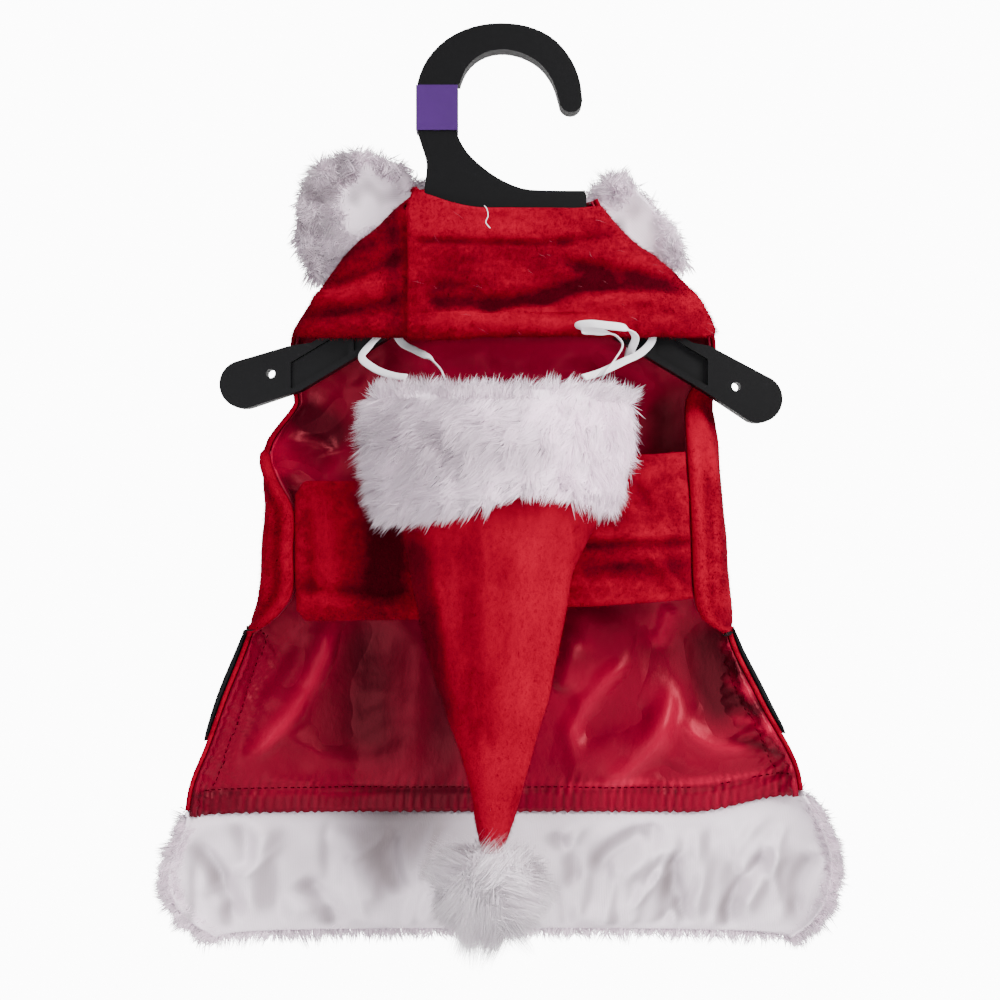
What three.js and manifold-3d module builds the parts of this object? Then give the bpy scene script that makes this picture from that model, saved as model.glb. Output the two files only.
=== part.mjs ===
// A small dog's santa coat and hat on a moulded shop hanger, in millimetres.
// X runs to the right, Y to the back and Z up; the origin is the inside top of the hook.
import * as THREE from "three";
import Module from "manifold-3d";

const manifold = await Module();
manifold.setup();

// ---- driving dimensions -------------------------------------------------------------
const LINING = 1.0; // satin wall
const PLUSH = 2.0; // plush wall
const SEAM = 0.4; // space between two pieces
const COVER = LINING + SEAM + PLUSH; // from the inside of the lining to the outside of the plush
const FULLNESS = 0.7; // exponent of the section: 1 is an ellipse, 0 a box

const PANEL_COLUMNS = 28;
const PANEL_TOP = -56.5;
const PANEL_BOTTOM = -290;
const CORNER_LIFT = 8; // how far the hem rises at its right corner
const CORNER_START = 72;

const STRAP_BOTTOM = -107.5;
const STRAP_WALL = 2.1;
const OVERLAP_EDGE = -35; // free edge of the chest strap's right half
const UNDER_EDGE = -22; // end of its left half

const BELLY_OVER_EDGE = -14;
const BELLY_UNDER_EDGE = 4;

const BELT_TOP = -219;
const BELT_BOTTOM = -264;
const BELT_WALL = 1.4;

const HEM_PILE = 7.5;
const COLLAR_WALL = 5;
const CONE_WALL = 1.8;

const HANGER_DEPTH = 8;
const ARM_SLOPE = 0.6;
const ARM_TOP = -67.6; // top line of an arm where it would meet the middle
const ARM_BOTTOM = -83.2;
const HOLE_RADIUS = 1.7;

// ---- the coat's body ----------------------------------------------------------------
// One row per height: the outline seen from the front, the middle of the wall's depth, how far it goes
// back and forward from there, and where its two front edges lie.
const COAT = [
  { z: -53.0, left: -31.5, right: 35.5, centre: 1.0, back: 8.0, front: 7.5, edgeL: -31.5, edgeR: 35.5 },
  { z: -61.0, left: -41.5, right: 39.5, centre: 1.2, back: 9.0, front: 8.0, edgeL: -41.5, edgeR: 39.5 },
  { z: -68.4, left: -49.0, right: 45.0, centre: 1.5, back: 9.5, front: 8.5, edgeL: -49.0, edgeR: 45.0 },
  { z: -76.0, left: -58.5, right: 53.5, centre: 2.0, back: 10.5, front: 9.0, edgeL: -58.5, edgeR: 53.5 },
  { z: -87.4, left: -67.5, right: 69.5, centre: 3.0, back: 12.0, front: 11.0, edgeL: -67.5, edgeR: 69.5 },
  { z: -101.0, left: -77.0, right: 80.0, centre: 4.5, back: 13.5, front: 13.5, edgeL: -77.0, edgeR: 80.0 },
  { z: -107.5, left: -81.5, right: 82.5, centre: 6.5, back: 13.5, front: 15.8, edgeL: -81.5, edgeR: 82.5 },
  { z: -113.0, left: -82.5, right: 83.5, centre: 10.8, back: 11.5, front: 3.0, edgeL: -82.5, edgeR: 83.5 },
  { z: -117.5, left: -82.2, right: 83.3, centre: 12.4, back: 10.8, front: 4.2, edgeL: -82.2, edgeR: 81.0 },
  { z: -122.0, left: -82.0, right: 83.0, centre: 12.9, back: 10.8, front: 4.5, edgeL: -82.0, edgeR: 77.0 },
  { z: -128.0, left: -81.7, right: 82.7, centre: 12.9, back: 10.8, front: 4.5, edgeL: -81.7, edgeR: 72.5 },
  { z: -134.0, left: -81.5, right: 82.5, centre: 12.0, back: 12.2, front: 4.4, edgeL: -81.5, edgeR: 70.5 },
  { z: -149.0, left: -91.0, right: 84.0, centre: 7.5, back: 17.0, front: 11.5, edgeL: -91.0, edgeR: 69.5 },
  { z: -161.0, left: -91.5, right: 84.5, centre: 6.5, back: 18.0, front: 17.0, edgeL: -88.0, edgeR: 69.5 },
  { z: -174.0, left: -90.5, right: 85.5, centre: 6.0, back: 18.0, front: 19.5, edgeL: -81.0, edgeR: 70.0 },
  { z: -190.0, left: -90.8, right: 87.0, centre: 6.0, back: 18.0, front: 20.0, edgeL: -81.0, edgeR: 70.5 },
  { z: -205.0, left: -92.5, right: 88.0, centre: 6.5, back: 17.0, front: 18.5, edgeL: -81.5, edgeR: 71.5 },
  { z: -214.0, left: -96.0, right: 88.5, centre: 7.0, back: 16.5, front: 15.0, edgeL: -88.0, edgeR: 75.0 },
  { z: -222.0, left: -98.5, right: 89.0, centre: 7.0, back: 16.0, front: 8.0, edgeL: -98.0, edgeR: 86.0 },
  { z: -231.0, left: -101.8, right: 92.5, centre: 7.0, back: 15.0, front: 6.0, edgeL: -101.8, edgeR: 92.5 },
  { z: -246.0, left: -107.8, right: 100.0, centre: 6.0, back: 14.0, front: 5.0, edgeL: -107.8, edgeR: 100.0 },
  { z: -266.0, left: -115.0, right: 109.5, centre: 5.0, back: 13.0, front: 5.0, edgeL: -115.0, edgeR: 109.5 },
  { z: -280.0, left: -120.5, right: 114.5, centre: 4.2, back: 12.5, front: 5.0, edgeL: -120.5, edgeR: 114.5 },
  { z: -292.0, left: -122.5, right: 116.5, centre: 4.0, back: 12.0, front: 5.0, edgeL: -122.5, edgeR: 116.5 },
];

// The largest folds of the body: a soft ridge towards the viewer (height > 0) or trough along a line.
const FOLDS = [
  { x0: -64, z0: -214, x1: -99, z1: -262, width: 9, height: 3.0 },
  { x0: -82, z0: -222, x1: -108, z1: -268, width: 6, height: -2.0 },
  { x0: -47, z0: -222, x1: -60, z1: -286, width: 10, height: -2.0 },
  { x0: 38, z0: -214, x1: 22, z1: -244, width: 8, height: 3.0 },
  { x0: 22, z0: -276, x1: 76, z1: -254, width: 8, height: 2.6 },
  { x0: 62, z0: -214, x1: 74, z1: -268, width: 9, height: -3.2 },
  { x0: 97, z0: -226, x1: 107, z1: -272, width: 6, height: 1.8 },
  { x0: 2, z0: -220, x1: -6, z1: -286, width: 12, height: 2.0 },
  { x0: -30, z0: -120, x1: -60, z1: -165, width: 12, height: 2.0 },
  { x0: 25, z0: -112, x1: 55, z1: -150, width: 10, height: 2.0 },
  { x0: -58, z0: -118, x1: -66, z1: -150, width: 8, height: -1.8 },
];

// Creases of the straps, in the same form.
const STRAP_CREASES = [
  { x0: -28, z0: -71, x1: 24, z1: -73.5, width: 4, height: -1.0 },
  { x0: -26, z0: -94, x1: 24, z1: -92, width: 4.5, height: -1.4 },
  { x0: 24, z0: -92, x1: 74, z1: -83, width: 4.5, height: -1.4 },
  { x0: -22, z0: -84, x1: 50, z1: -80, width: 4, height: -0.9 },
  { x0: -70, z0: -97, x1: -38, z1: -92, width: 4, height: -1.0 },
];
const BELLY_CREASES = [
  { x0: 20, z0: -187, x1: 70, z1: -186, width: 4, height: -1.3 },
  { x0: 30, z0: -196, x1: 70, z1: -200, width: 5, height: -1.2 },
  { x0: 46, z0: -158, x1: 52, z1: -200, width: 5, height: -1.0 },
  { x0: -78, z0: -205, x1: -30, z1: -208, width: 5, height: 1.2 },
  { x0: -46, z0: -168, x1: -48, z1: -205, width: 7, height: -1.2 },
];

// The hem's outline with its pile, which is as deep as `inset`.
const HEM = [
  { z: -292.2, left: -122.0, right: 117.0, centre: 4.0, back: 12.0, front: 5.0, inset: 4.5 },
  { z: -296.0, left: -124.0, right: 121.5, centre: 4.0, back: 12.0, front: 5.0, inset: 6.5 },
  { z: -305.0, left: -127.5, right: 126.5, centre: 4.0, back: 12.0, front: 5.0, inset: 7.5 },
  { z: -314.6, left: -130.5, right: 129.5, centre: 4.0, back: 12.0, front: 5.0, inset: 8.0 },
  { z: -324.0, left: -129.0, right: 128.0, centre: 4.0, back: 12.0, front: 5.0, inset: 8.0 },
  { z: -332.0, left: -124.5, right: 124.5, centre: 4.0, back: 12.0, front: 5.0, inset: 7.0 },
  { z: -338.5, left: -117.0, right: 118.5, centre: 4.0, back: 12.0, front: 5.0, inset: 4.5 },
];
const HEM_FOLDS = [
  { x0: 34, z0: -297, x1: 50, z1: -334, width: 6, height: 1.6 },
  { x0: 74, z0: -300, x1: 66, z1: -335, width: 6, height: 1.6 },
  { x0: 100, z0: -300, x1: 88, z1: -334, width: 5, height: 1.5 },
  { x0: -62, z0: -298, x1: -48, z1: -334, width: 8, height: -1.5 },
  { x0: -96, z0: -298, x1: -104, z1: -332, width: 6, height: 1.4 },
];

// The collar: where its root lies on the coat (angle round the section, in turns from the right side
// over the back, and height) and where its free edge stands.
const COLLAR = [
  { turn: 0.455, rootZ: -88.0, x: -73.0, y: 9.0, z: -81.5, bow: 0.5 },
  { turn: 0.45, rootZ: -81.5, x: -77.0, y: 9.0, z: -70.0, bow: 2.0 },
  { turn: 0.445, rootZ: -75.0, x: -77.5, y: 9.0, z: -56.0, bow: 4.5 },
  { turn: 0.44, rootZ: -69.0, x: -72.5, y: 8.0, z: -45.0, bow: 6.0 },
  { turn: 0.435, rootZ: -63.5, x: -62.5, y: 7.5, z: -38.8, bow: 6.5 },
  { turn: 0.425, rootZ: -59.5, x: -49.5, y: 8.0, z: -38.5, bow: 6.0 },
  { turn: 0.4, rootZ: -57.5, x: -36.5, y: 12.0, z: -44.5, bow: 4.0 },
  { turn: 0.34, rootZ: -57.5, x: -22.0, y: 22.0, z: -58.0, bow: 2.0 },
  { turn: 0.25, rootZ: -57.5, x: 1.0, y: 27.0, z: -68.0, bow: 1.5 },
  { turn: 0.16, rootZ: -57.5, x: 22.0, y: 23.0, z: -60.0, bow: 2.0 },
  { turn: 0.095, rootZ: -59.0, x: 38.5, y: 12.5, z: -49.0, bow: 3.0 },
  { turn: 0.07, rootZ: -63.0, x: 46.5, y: 9.5, z: -46.0, bow: 3.5 },
  { turn: 0.06, rootZ: -68.5, x: 56.0, y: 9.0, z: -55.5, bow: 3.0 },
  { turn: 0.055, rootZ: -75.0, x: 65.5, y: 9.0, z: -66.0, bow: 2.0 },
  { turn: 0.05, rootZ: -82.5, x: 70.5, y: 9.0, z: -78.5, bow: 0.5 },
];

// ---- the hat ------------------------------------------------------------------------
const HAT_Y = -33.5;
const CONE = [
  { z: -160, left: -39.7, right: 38.9, depth: 6.6 },
  { z: -178, left: -36.4, right: 34.1, depth: 6.6 },
  { z: -184, left: -35.6, right: 31.0, depth: 8.6 },
  { z: -196, left: -33.0, right: 25.8, depth: 10.0 },
  { z: -218, left: -28.8, right: 21.8, depth: 10.6 },
  { z: -238, left: -23.4, right: 17.2, depth: 9.6 },
  { z: -256, left: -17.2, right: 12.4, depth: 8.0 },
  { z: -272, left: -12.0, right: 8.0, depth: 6.4 },
  { z: -286, left: -9.6, right: 4.4, depth: 5.2 },
  { z: -296, left: -7.2, right: 0.2, depth: 3.6 },
];
const CONE_FLOOR = -276; // the cone is closed below this height
const CONE_FOLDS = [
  { x0: -14, z0: -184, x1: -12, z1: -262, width: 5, height: -1.2 },
  { x0: 12, z0: -184, x1: 3, z1: -250, width: 6, height: 1.2 },
  { x0: -27, z0: -184, x1: -18, z1: -240, width: 4, height: 1.0 },
];
const BRIM = [
  { z: -127.5, left: -46.0, right: 46.5, depth: 10.5 },
  { z: -132.0, left: -50.0, right: 50.0, depth: 12.6 },
  { z: -140.0, left: -51.5, right: 51.5, depth: 13.8 },
  { z: -152.0, left: -50.6, right: 50.6, depth: 14.0 },
  { z: -164.0, left: -48.6, right: 48.4, depth: 13.8 },
  { z: -172.0, left: -46.5, right: 45.5, depth: 12.8 },
  { z: -177.5, left: -43.0, right: 41.0, depth: 10.8 },
];
// The inside of the brim's ring; the top of the cone lies just within it.
const MOUTH = [
  { z: -127.5, left: -41.0, right: 41.5, depth: 6.0 },
  { z: -140.0, left: -42.5, right: 42.5, depth: 7.0 },
  { z: -150.0, left: -42.0, right: 42.0, depth: 7.1 },
  { z: -160.0, left: -40.2, right: 39.4, depth: 7.1 },
  { z: -178.0, left: -36.9, right: 34.6, depth: 7.1 },
];
const POMPOM = { x: -4.0, y: -32.6, z: -308.7, core: 11.5, reach: 24, locks: 78, root: 3.1 };

// ---- small mathematics --------------------------------------------------------------
const signedPower = (v, p) => Math.sign(v) * Math.abs(v) ** p;
const clamp = (v, a, b) => Math.min(b, Math.max(a, v));
const lerp = (a, b, t) => a + (b - a) * t;
const smooth = (t) => {
  const s = clamp(t, 0, 1);
  return s * s * (3 - 2 * s);
};

// A row of a table between two of its rows, through every row without a corner.
function rowAt(table, key, at) {
  const rising = table[1][key] > table[0][key];
  const inside = rising
    ? clamp(at, table[0][key], table.at(-1)[key])
    : clamp(at, table.at(-1)[key], table[0][key]);
  let i = 0;
  while (i < table.length - 2 && (rising ? inside > table[i + 1][key] : inside < table[i + 1][key])) i += 1;
  const [a, b] = [table[i], table[i + 1]];
  const [before, after] = [table[i - 1] ?? a, table[i + 2] ?? b];
  const span = b[key] - a[key];
  const t = (inside - a[key]) / span;
  const [t2, t3] = [t * t, t * t * t];
  const row = {};
  for (const name of Object.keys(a)) {
    const slopeA = before === a ? b[name] - a[name] : ((b[name] - before[name]) / (b[key] - before[key])) * span;
    const slopeB = after === b ? b[name] - a[name] : ((after[name] - a[name]) / (after[key] - a[key])) * span;
    row[name] =
      (2 * t3 - 3 * t2 + 1) * a[name] + (t3 - 2 * t2 + t) * slopeA + (3 * t2 - 2 * t3) * b[name] + (t3 - t2) * slopeB;
  }
  row[key] = inside;
  return row;
}

// Height of the folds at a point of the front view: each fold is a soft line that fades at its ends.
function foldHeight(folds, x, z) {
  let sum = 0;
  for (const f of folds) {
    const [dx, dz] = [f.x1 - f.x0, f.z1 - f.z0];
    const length = Math.hypot(dx, dz);
    const along = ((x - f.x0) * dx + (z - f.z0) * dz) / (length * length);
    const across = ((x - f.x0) * dz - (z - f.z0) * dx) / length;
    const fade = smooth((along + 0.12) / 0.3) * smooth((1.12 - along) / 0.3);
    sum += f.height * fade * Math.exp(-((across / f.width) ** 2));
  }
  return sum;
}

// ---- solids from grids --------------------------------------------------------------
// A closed wall between two grids of points, rows x columns; `ring` joins the last column to the first.
function wallGeometry(inner, outer, ring = false) {
  const [rows, columns] = [inner.length, inner[0].length];
  const positions = [...inner.flat(), ...outer.flat()].flatMap((p) => [p.x, p.y, p.z]);
  const [a, b] = [(i, j) => i * columns + (j % columns), (i, j) => (rows + i) * columns + (j % columns)];
  const steps = ring ? columns : columns - 1;
  const index = [];
  const quad = (p, q, r, s) => index.push(p, q, r, p, r, s);
  for (let i = 0; i < rows - 1; i += 1) {
    for (let j = 0; j < steps; j += 1) {
      quad(a(i, j), a(i, j + 1), a(i + 1, j + 1), a(i + 1, j));
      quad(b(i, j), b(i + 1, j), b(i + 1, j + 1), b(i, j + 1));
    }
  }
  for (let j = 0; j < steps; j += 1) {
    quad(a(0, j), b(0, j), b(0, j + 1), a(0, j + 1));
    quad(a(rows - 1, j), a(rows - 1, j + 1), b(rows - 1, j + 1), b(rows - 1, j));
  }
  if (!ring) {
    for (let i = 0; i < rows - 1; i += 1) {
      quad(a(i, 0), a(i + 1, 0), b(i + 1, 0), b(i, 0));
      quad(a(i, columns - 1), b(i, columns - 1), b(i + 1, columns - 1), a(i + 1, columns - 1));
    }
  }
  return outwards(positions, index);
}

// Turns every face round where the volume comes out negative.
function outwards(positions, index) {
  let volume = 0;
  const p = (i) => new THREE.Vector3(positions[3 * i], positions[3 * i + 1], positions[3 * i + 2]);
  for (let f = 0; f < index.length; f += 3) {
    volume += p(index[f]).dot(p(index[f + 1]).cross(p(index[f + 2])));
  }
  if (volume < 0) {
    for (let f = 0; f < index.length; f += 3) [index[f + 1], index[f + 2]] = [index[f + 2], index[f + 1]];
  }
  const geometry = new THREE.BufferGeometry();
  geometry.setAttribute("position", new THREE.Float32BufferAttribute(positions, 3));
  geometry.setIndex(index);
  return geometry;
}

// Normals of a grid, pointing away from the place that `from` gives for each point, where it is given.
function gridNormals(grid, from, ring = false) {
  const [rows, columns] = [grid.length, grid[0].length];
  return grid.map((row, i) =>
    row.map((point, j) => {
      const up = grid[Math.max(0, i - 1)][j];
      const down = grid[Math.min(rows - 1, i + 1)][j];
      const before = ring ? row[(j + columns - 1) % columns] : row[Math.max(0, j - 1)];
      const after = ring ? row[(j + 1) % columns] : row[Math.min(columns - 1, j + 1)];
      const normal = after.clone().sub(before).cross(down.clone().sub(up)).normalize();
      return from && normal.dot(point.clone().sub(from(point))) < 0 ? normal.negate() : normal;
    }),
  );
}

const offsetGrid = (grid, normals, amount) =>
  grid.map((row, i) => row.map((p, j) => p.clone().addScaledVector(normals[i][j], amount(i, j, p))));

// ---- the coat's surface -------------------------------------------------------------
// A point of the inside surface; `angle` runs from 0 at the right over the back to pi at the left.
function coatPoint(row, angle, folds) {
  const middle = (row.left + row.right) / 2;
  const half = (row.right - row.left) / 2 - (row.inset ?? COVER);
  const x = middle + half * signedPower(Math.cos(angle), FULLNESS);
  const reach = Math.sin(angle) >= 0 ? row.back : row.front;
  const y = row.centre + reach * signedPower(Math.sin(angle), FULLNESS);
  const z = row.z;
  return new THREE.Vector3(x, y - foldHeight(folds, x, z), z);
}

// The angle at which the front of a section reaches the width x.
function frontAngle(row, x) {
  const middle = (row.left + row.right) / 2;
  const half = (row.right - row.left) / 2 - COVER;
  const share = clamp((x - middle) / half, -1, 1);
  return 2 * Math.PI - Math.acos(signedPower(share, 1 / FULLNESS));
}

// Columns of a section between two angles, at equal steps along the cloth.
function section(row, from, to, columns, folds) {
  const fine = 240;
  const points = Array.from({ length: fine + 1 }, (_, k) => coatPoint(row, lerp(from, to, k / fine), folds));
  const along = [0];
  for (let k = 1; k <= fine; k += 1) along.push(along[k - 1] + points[k].distanceTo(points[k - 1]));
  let k = 0;
  return Array.from({ length: columns }, (_, j) => {
    const target = (along[fine] * j) / (columns - 1);
    while (k < fine - 1 && along[k + 1] < target) k += 1;
    const share = clamp((target - along[k]) / (along[k + 1] - along[k]), 0, 1);
    return coatPoint(row, lerp(from, to, (k + share) / fine), folds);
  });
}

const coatMiddle = (table) => (p) => new THREE.Vector3(0.9 * p.x, rowAt(table, "z", p.z).centre, p.z);

// The lift of the hem's right corner, the same for the coat and the trim below it.
const cornerLift = (x, z) =>
  CORNER_LIFT * smooth((x - CORNER_START) / 44) * smooth((-246 - z) / 44) * (z > -292 ? 1 : smooth((z + 336) / 44));

const lifted = (grid) => grid.map((row) => row.map((p) => p.setZ(p.z + cornerLift(p.x, p.z))));

const PANEL_ROWS = [
  PANEL_TOP, -62, -68.4, -76, -81.6, -87.4, -97, -107.5, -113, -117.5, -122, -128, -134, -142, -149, -161, -174, -190, -205, -212,
  BELT_TOP, -228, -237, -246, -255, BELT_BOTTOM, -272, -281, PANEL_BOTTOM,
];

// The body's own grid: from its front edge at the left over the back to its front edge at the right.
function panelGrid(zs, columns, margin = 0.018) {
  return lifted(
    zs.map((z) => {
      const row = rowAt(COAT, "z", z);
      const left = row.edgeL <= row.left + 0.6 ? Math.PI - margin : frontAngle(row, row.edgeL + COVER);
      const right = row.edgeR >= row.right - 0.6 ? margin : frontAngle(row, row.edgeR) - 2 * Math.PI;
      return section(row, Math.max(left, Math.PI - margin), Math.min(right, margin), columns, FOLDS);
    }),
  );
}

function panelPiece(inside, outside) {
  const grid = panelGrid(PANEL_ROWS, PANEL_COLUMNS);
  const normals = gridNormals(grid, coatMiddle(COAT));
  return wallGeometry(offsetGrid(grid, normals, inside), offsetGrid(grid, normals, outside));
}

// The belt lies on the panel's own points between its two heights.
function beltPiece() {
  const whole = panelGrid(PANEL_ROWS, PANEL_COLUMNS);
  const normals = gridNormals(whole, coatMiddle(COAT));
  const [from, to] = [PANEL_ROWS.indexOf(BELT_TOP), PANEL_ROWS.indexOf(BELT_BOTTOM) + 1];
  const wall = (amount) => offsetGrid(whole, normals, () => amount).slice(from, to);
  return wallGeometry(wall(COVER + SEAM), wall(COVER + SEAM + BELT_WALL));
}

// A strap across the front: `shape` gives its left and right ends and its top and bottom at each end.
function strapPiece({ rows, columns, leftAt, rightAt, topAt, bottomAt, depthAt, creases }) {
  const grid = Array.from({ length: rows }, (_, i) =>
    Array.from({ length: columns }, (_, j) => {
      const [s, v] = [j / (columns - 1), i / (rows - 1)];
      const z = lerp(topAt(s), bottomAt(s), v);
      const row = rowAt(COAT, "z", z);
      const from = leftAt(z) === null ? Math.PI + 0.018 : frontAngle(row, leftAt(z));
      const to = rightAt(z) === null ? 2 * Math.PI - 0.018 : frontAngle(row, rightAt(z));
      return coatPoint(row, lerp(from, to, s), creases);
    }),
  );
  const normals = gridNormals(grid, coatMiddle(COAT));
  return wallGeometry(
    offsetGrid(grid, normals, (i, j, p) => depthAt(p)),
    offsetGrid(grid, normals, (i, j, p) => depthAt(p) + STRAP_WALL),
  );
}

const neckTop = (x) => -54.5 - 6.3 * smooth((x + 32) / 26) + 0.8 * smooth((x - 14) / 20);

const neckRight = {
  rows: 14,
  columns: 17,
  leftAt: (z) => OVERLAP_EDGE + 3.5 * smooth((z + 64) / 9),
  rightAt: () => null,
  topAt: (s) => neckTop(lerp(-33, 38, s)),
  bottomAt: () => STRAP_BOTTOM,
  depthAt: (p) => 1.0 + 1.9 * smooth((-4 - p.x) / 14),
  creases: STRAP_CREASES,
};
const neckLeft = {
  rows: 11,
  columns: 11,
  leftAt: () => null,
  rightAt: () => UNDER_EDGE,
  topAt: (s) => lerp(-63.5, -66, smooth(s * 1.6)),
  bottomAt: () => STRAP_BOTTOM - 0.3,
  depthAt: () => 0.4,
  creases: STRAP_CREASES,
};
const bellyRight = {
  rows: 9,
  columns: 13,
  leftAt: () => BELLY_OVER_EDGE,
  rightAt: (z) => rowAt(COAT, "z", z).edgeR - 0.8,
  topAt: (s) => lerp(-156.5, -153, s),
  bottomAt: (s) => lerp(-210, -206.5, s),
  depthAt: (p) => 1.0 + 2.0 * smooth((22 - p.x) / 14),
  creases: BELLY_CREASES,
};
const bellyLeft = {
  rows: 9,
  columns: 13,
  leftAt: () => -80.2 + COVER,
  rightAt: () => BELLY_UNDER_EDGE,
  topAt: () => -163.5,
  bottomAt: (s) => lerp(-215, -213.5, s),
  depthAt: () => 0.5,
  creases: BELLY_CREASES,
};

// The hem's trim: its knit backing continues the lining, its pile stands out behind.
function hemPiece() {
  const zs = [-292.2, -295, -300, -307, -314.6, -322, -329, -334.5, -338.5];
  const grid = lifted(
    zs.map((z) => section(rowAt(HEM, "z", z), Math.PI, 0, 33, HEM_FOLDS)),
  );
  const normals = gridNormals(grid, coatMiddle(HEM));
  const pile = (z) => Math.min(rowAt(HEM, "z", z).inset, HEM_PILE);
  return wallGeometry(
    offsetGrid(grid, normals, () => 0),
    offsetGrid(grid, normals, (i) => pile(zs[i])),
  );
}

function collarPiece() {
  const [along, across] = [31, 6];
  const table = COLLAR.map((entry, k) => ({ ...entry, k }));
  const grid = Array.from({ length: along }, (_, i) => {
    const entry = rowAt(table, "k", (i / (along - 1)) * (COLLAR.length - 1));
    const row = rowAt(COAT, "z", entry.rootZ);
    const angle = entry.turn * 2 * Math.PI;
    const on = coatPoint(row, angle, []);
    const away = on.clone().sub(coatPoint(row, angle + 0.02, [])).normalize();
    const outward = new THREE.Vector3(-away.y, away.x, 0);
    if (outward.dot(new THREE.Vector3(on.x, on.y - row.centre, 0)) < 0) outward.negate();
    const root = on.addScaledVector(outward, COVER + SEAM + COLLAR_WALL / 2 + 0.9);
    const edge = new THREE.Vector3(entry.x, entry.y, entry.z);
    return Array.from({ length: across }, (_, j) => {
      const s = j / (across - 1);
      const point = root.clone().lerp(edge, s);
      point.y += entry.bow * Math.sin(Math.PI * s) * (1 - 0.25 * s);
      return point;
    });
  });
  const normals = gridNormals(grid, null);
  const rim = (j) => (COLLAR_WALL / 2) * (j === across - 1 ? 0.6 : 1);
  return wallGeometry(
    offsetGrid(grid, normals, (i, j) => -rim(j)),
    offsetGrid(grid, normals, (i, j) => rim(j)),
  );
}

// ---- the hat's rings ----------------------------------------------------------------
function ringGrid(table, zs, columns, inset, folds) {
  return zs.map((z) => {
    const row = rowAt(table, "z", z);
    const middle = (row.left + row.right) / 2;
    const half = (row.right - row.left) / 2 - inset;
    const depth = Math.max(row.depth - inset, 0.8);
    return Array.from({ length: columns }, (_, j) => {
      const angle = (2 * Math.PI * j) / columns;
      const x = middle + half * signedPower(Math.cos(angle), 0.85);
      const y = HAT_Y + depth * signedPower(Math.sin(angle), 0.85);
      const front = clamp(-Math.sin(angle) * 2, 0, 1);
      return new THREE.Vector3(x, y - front * foldHeight(folds, x, z), z);
    });
  });
}

function brimPiece() {
  const zs = [-127.5, -130, -135, -143, -152, -161, -169, -174.5, -177.5];
  return wallGeometry(ringGrid(MOUTH, zs, 30, 0, []), ringGrid(BRIM, zs, 30, 0, []), true);
}

// The cone: an outer skin with an inner one that stops at the floor, joined at the mouth.
function conePiece() {
  const zs = [-160, -170, -178, -184, -190, -198, -208, -218, -228, -238, -247, -256, -264, -272, -280, -288, -296];
  const columns = 24;
  const outer = ringGrid(CONE, zs, columns, 0, CONE_FOLDS);
  const inner = ringGrid(CONE, zs.filter((z) => z > CONE_FLOOR), columns, CONE_WALL, CONE_FOLDS);
  const rings = [...outer].reverse().concat(inner);
  const centre = (ring) => ring.reduce((sum, p) => sum.add(p), new THREE.Vector3()).divideScalar(ring.length);
  const tip = centre(rings[0]).add(new THREE.Vector3(0, 0, -0.8));
  const floor = centre(rings.at(-1)).add(new THREE.Vector3(0, 0, -2));
  const positions = [...rings.flat(), tip, floor].flatMap((p) => [p.x, p.y, p.z]);
  const at = (i, j) => i * columns + (j % columns);
  const [tipAt, floorAt] = [rings.length * columns, rings.length * columns + 1];
  const index = [];
  for (let j = 0; j < columns; j += 1) {
    for (let i = 0; i < rings.length - 1; i += 1) {
      index.push(at(i, j), at(i, j + 1), at(i + 1, j + 1), at(i, j), at(i + 1, j + 1), at(i + 1, j));
    }
    index.push(tipAt, at(0, j + 1), at(0, j));
    index.push(floorAt, at(rings.length - 1, j), at(rings.length - 1, j + 1));
  }
  return outwards(positions, index);
}

// ---- manifold help ------------------------------------------------------------------
function toManifold(geometry) {
  const source = geometry.index ? geometry : null;
  const mesh = new manifold.Mesh({
    numProp: 3,
    vertProperties: new Float32Array(source.attributes.position.array),
    triVerts: new Uint32Array(source.index.array),
  });
  return new manifold.Manifold(mesh);
}

function fromManifold(solid) {
  const mesh = solid.getMesh();
  return outwards(Array.from(mesh.vertProperties), Array.from(mesh.triVerts));
}

// A shape in the XZ plane, extruded along Y about `middle`.
function slab(shape, depth, middle = 0, curve = 10) {
  const raw = new THREE.ExtrudeGeometry(shape, { depth, bevelEnabled: false, curveSegments: curve });
  raw.rotateX(Math.PI / 2).translate(0, middle + depth / 2, 0);
  raw.deleteAttribute("normal");
  raw.deleteAttribute("uv");
  const keys = new Map();
  const positions = [];
  const index = [];
  const source = raw.attributes.position;
  for (let i = 0; i < source.count; i += 1) {
    const triple = [source.getX(i), source.getY(i), source.getZ(i)];
    const key = triple.map((v) => v.toFixed(4)).join(",");
    if (!keys.has(key)) {
      keys.set(key, positions.length / 3);
      positions.push(...triple);
    }
    index.push(keys.get(key));
  }
  const kept = [];
  for (let f = 0; f < index.length; f += 3) {
    const [a, b, c] = index.slice(f, f + 3);
    if (a !== b && b !== c && c !== a) kept.push(a, b, c);
  }
  return toManifold(outwards(positions, kept));
}

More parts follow.
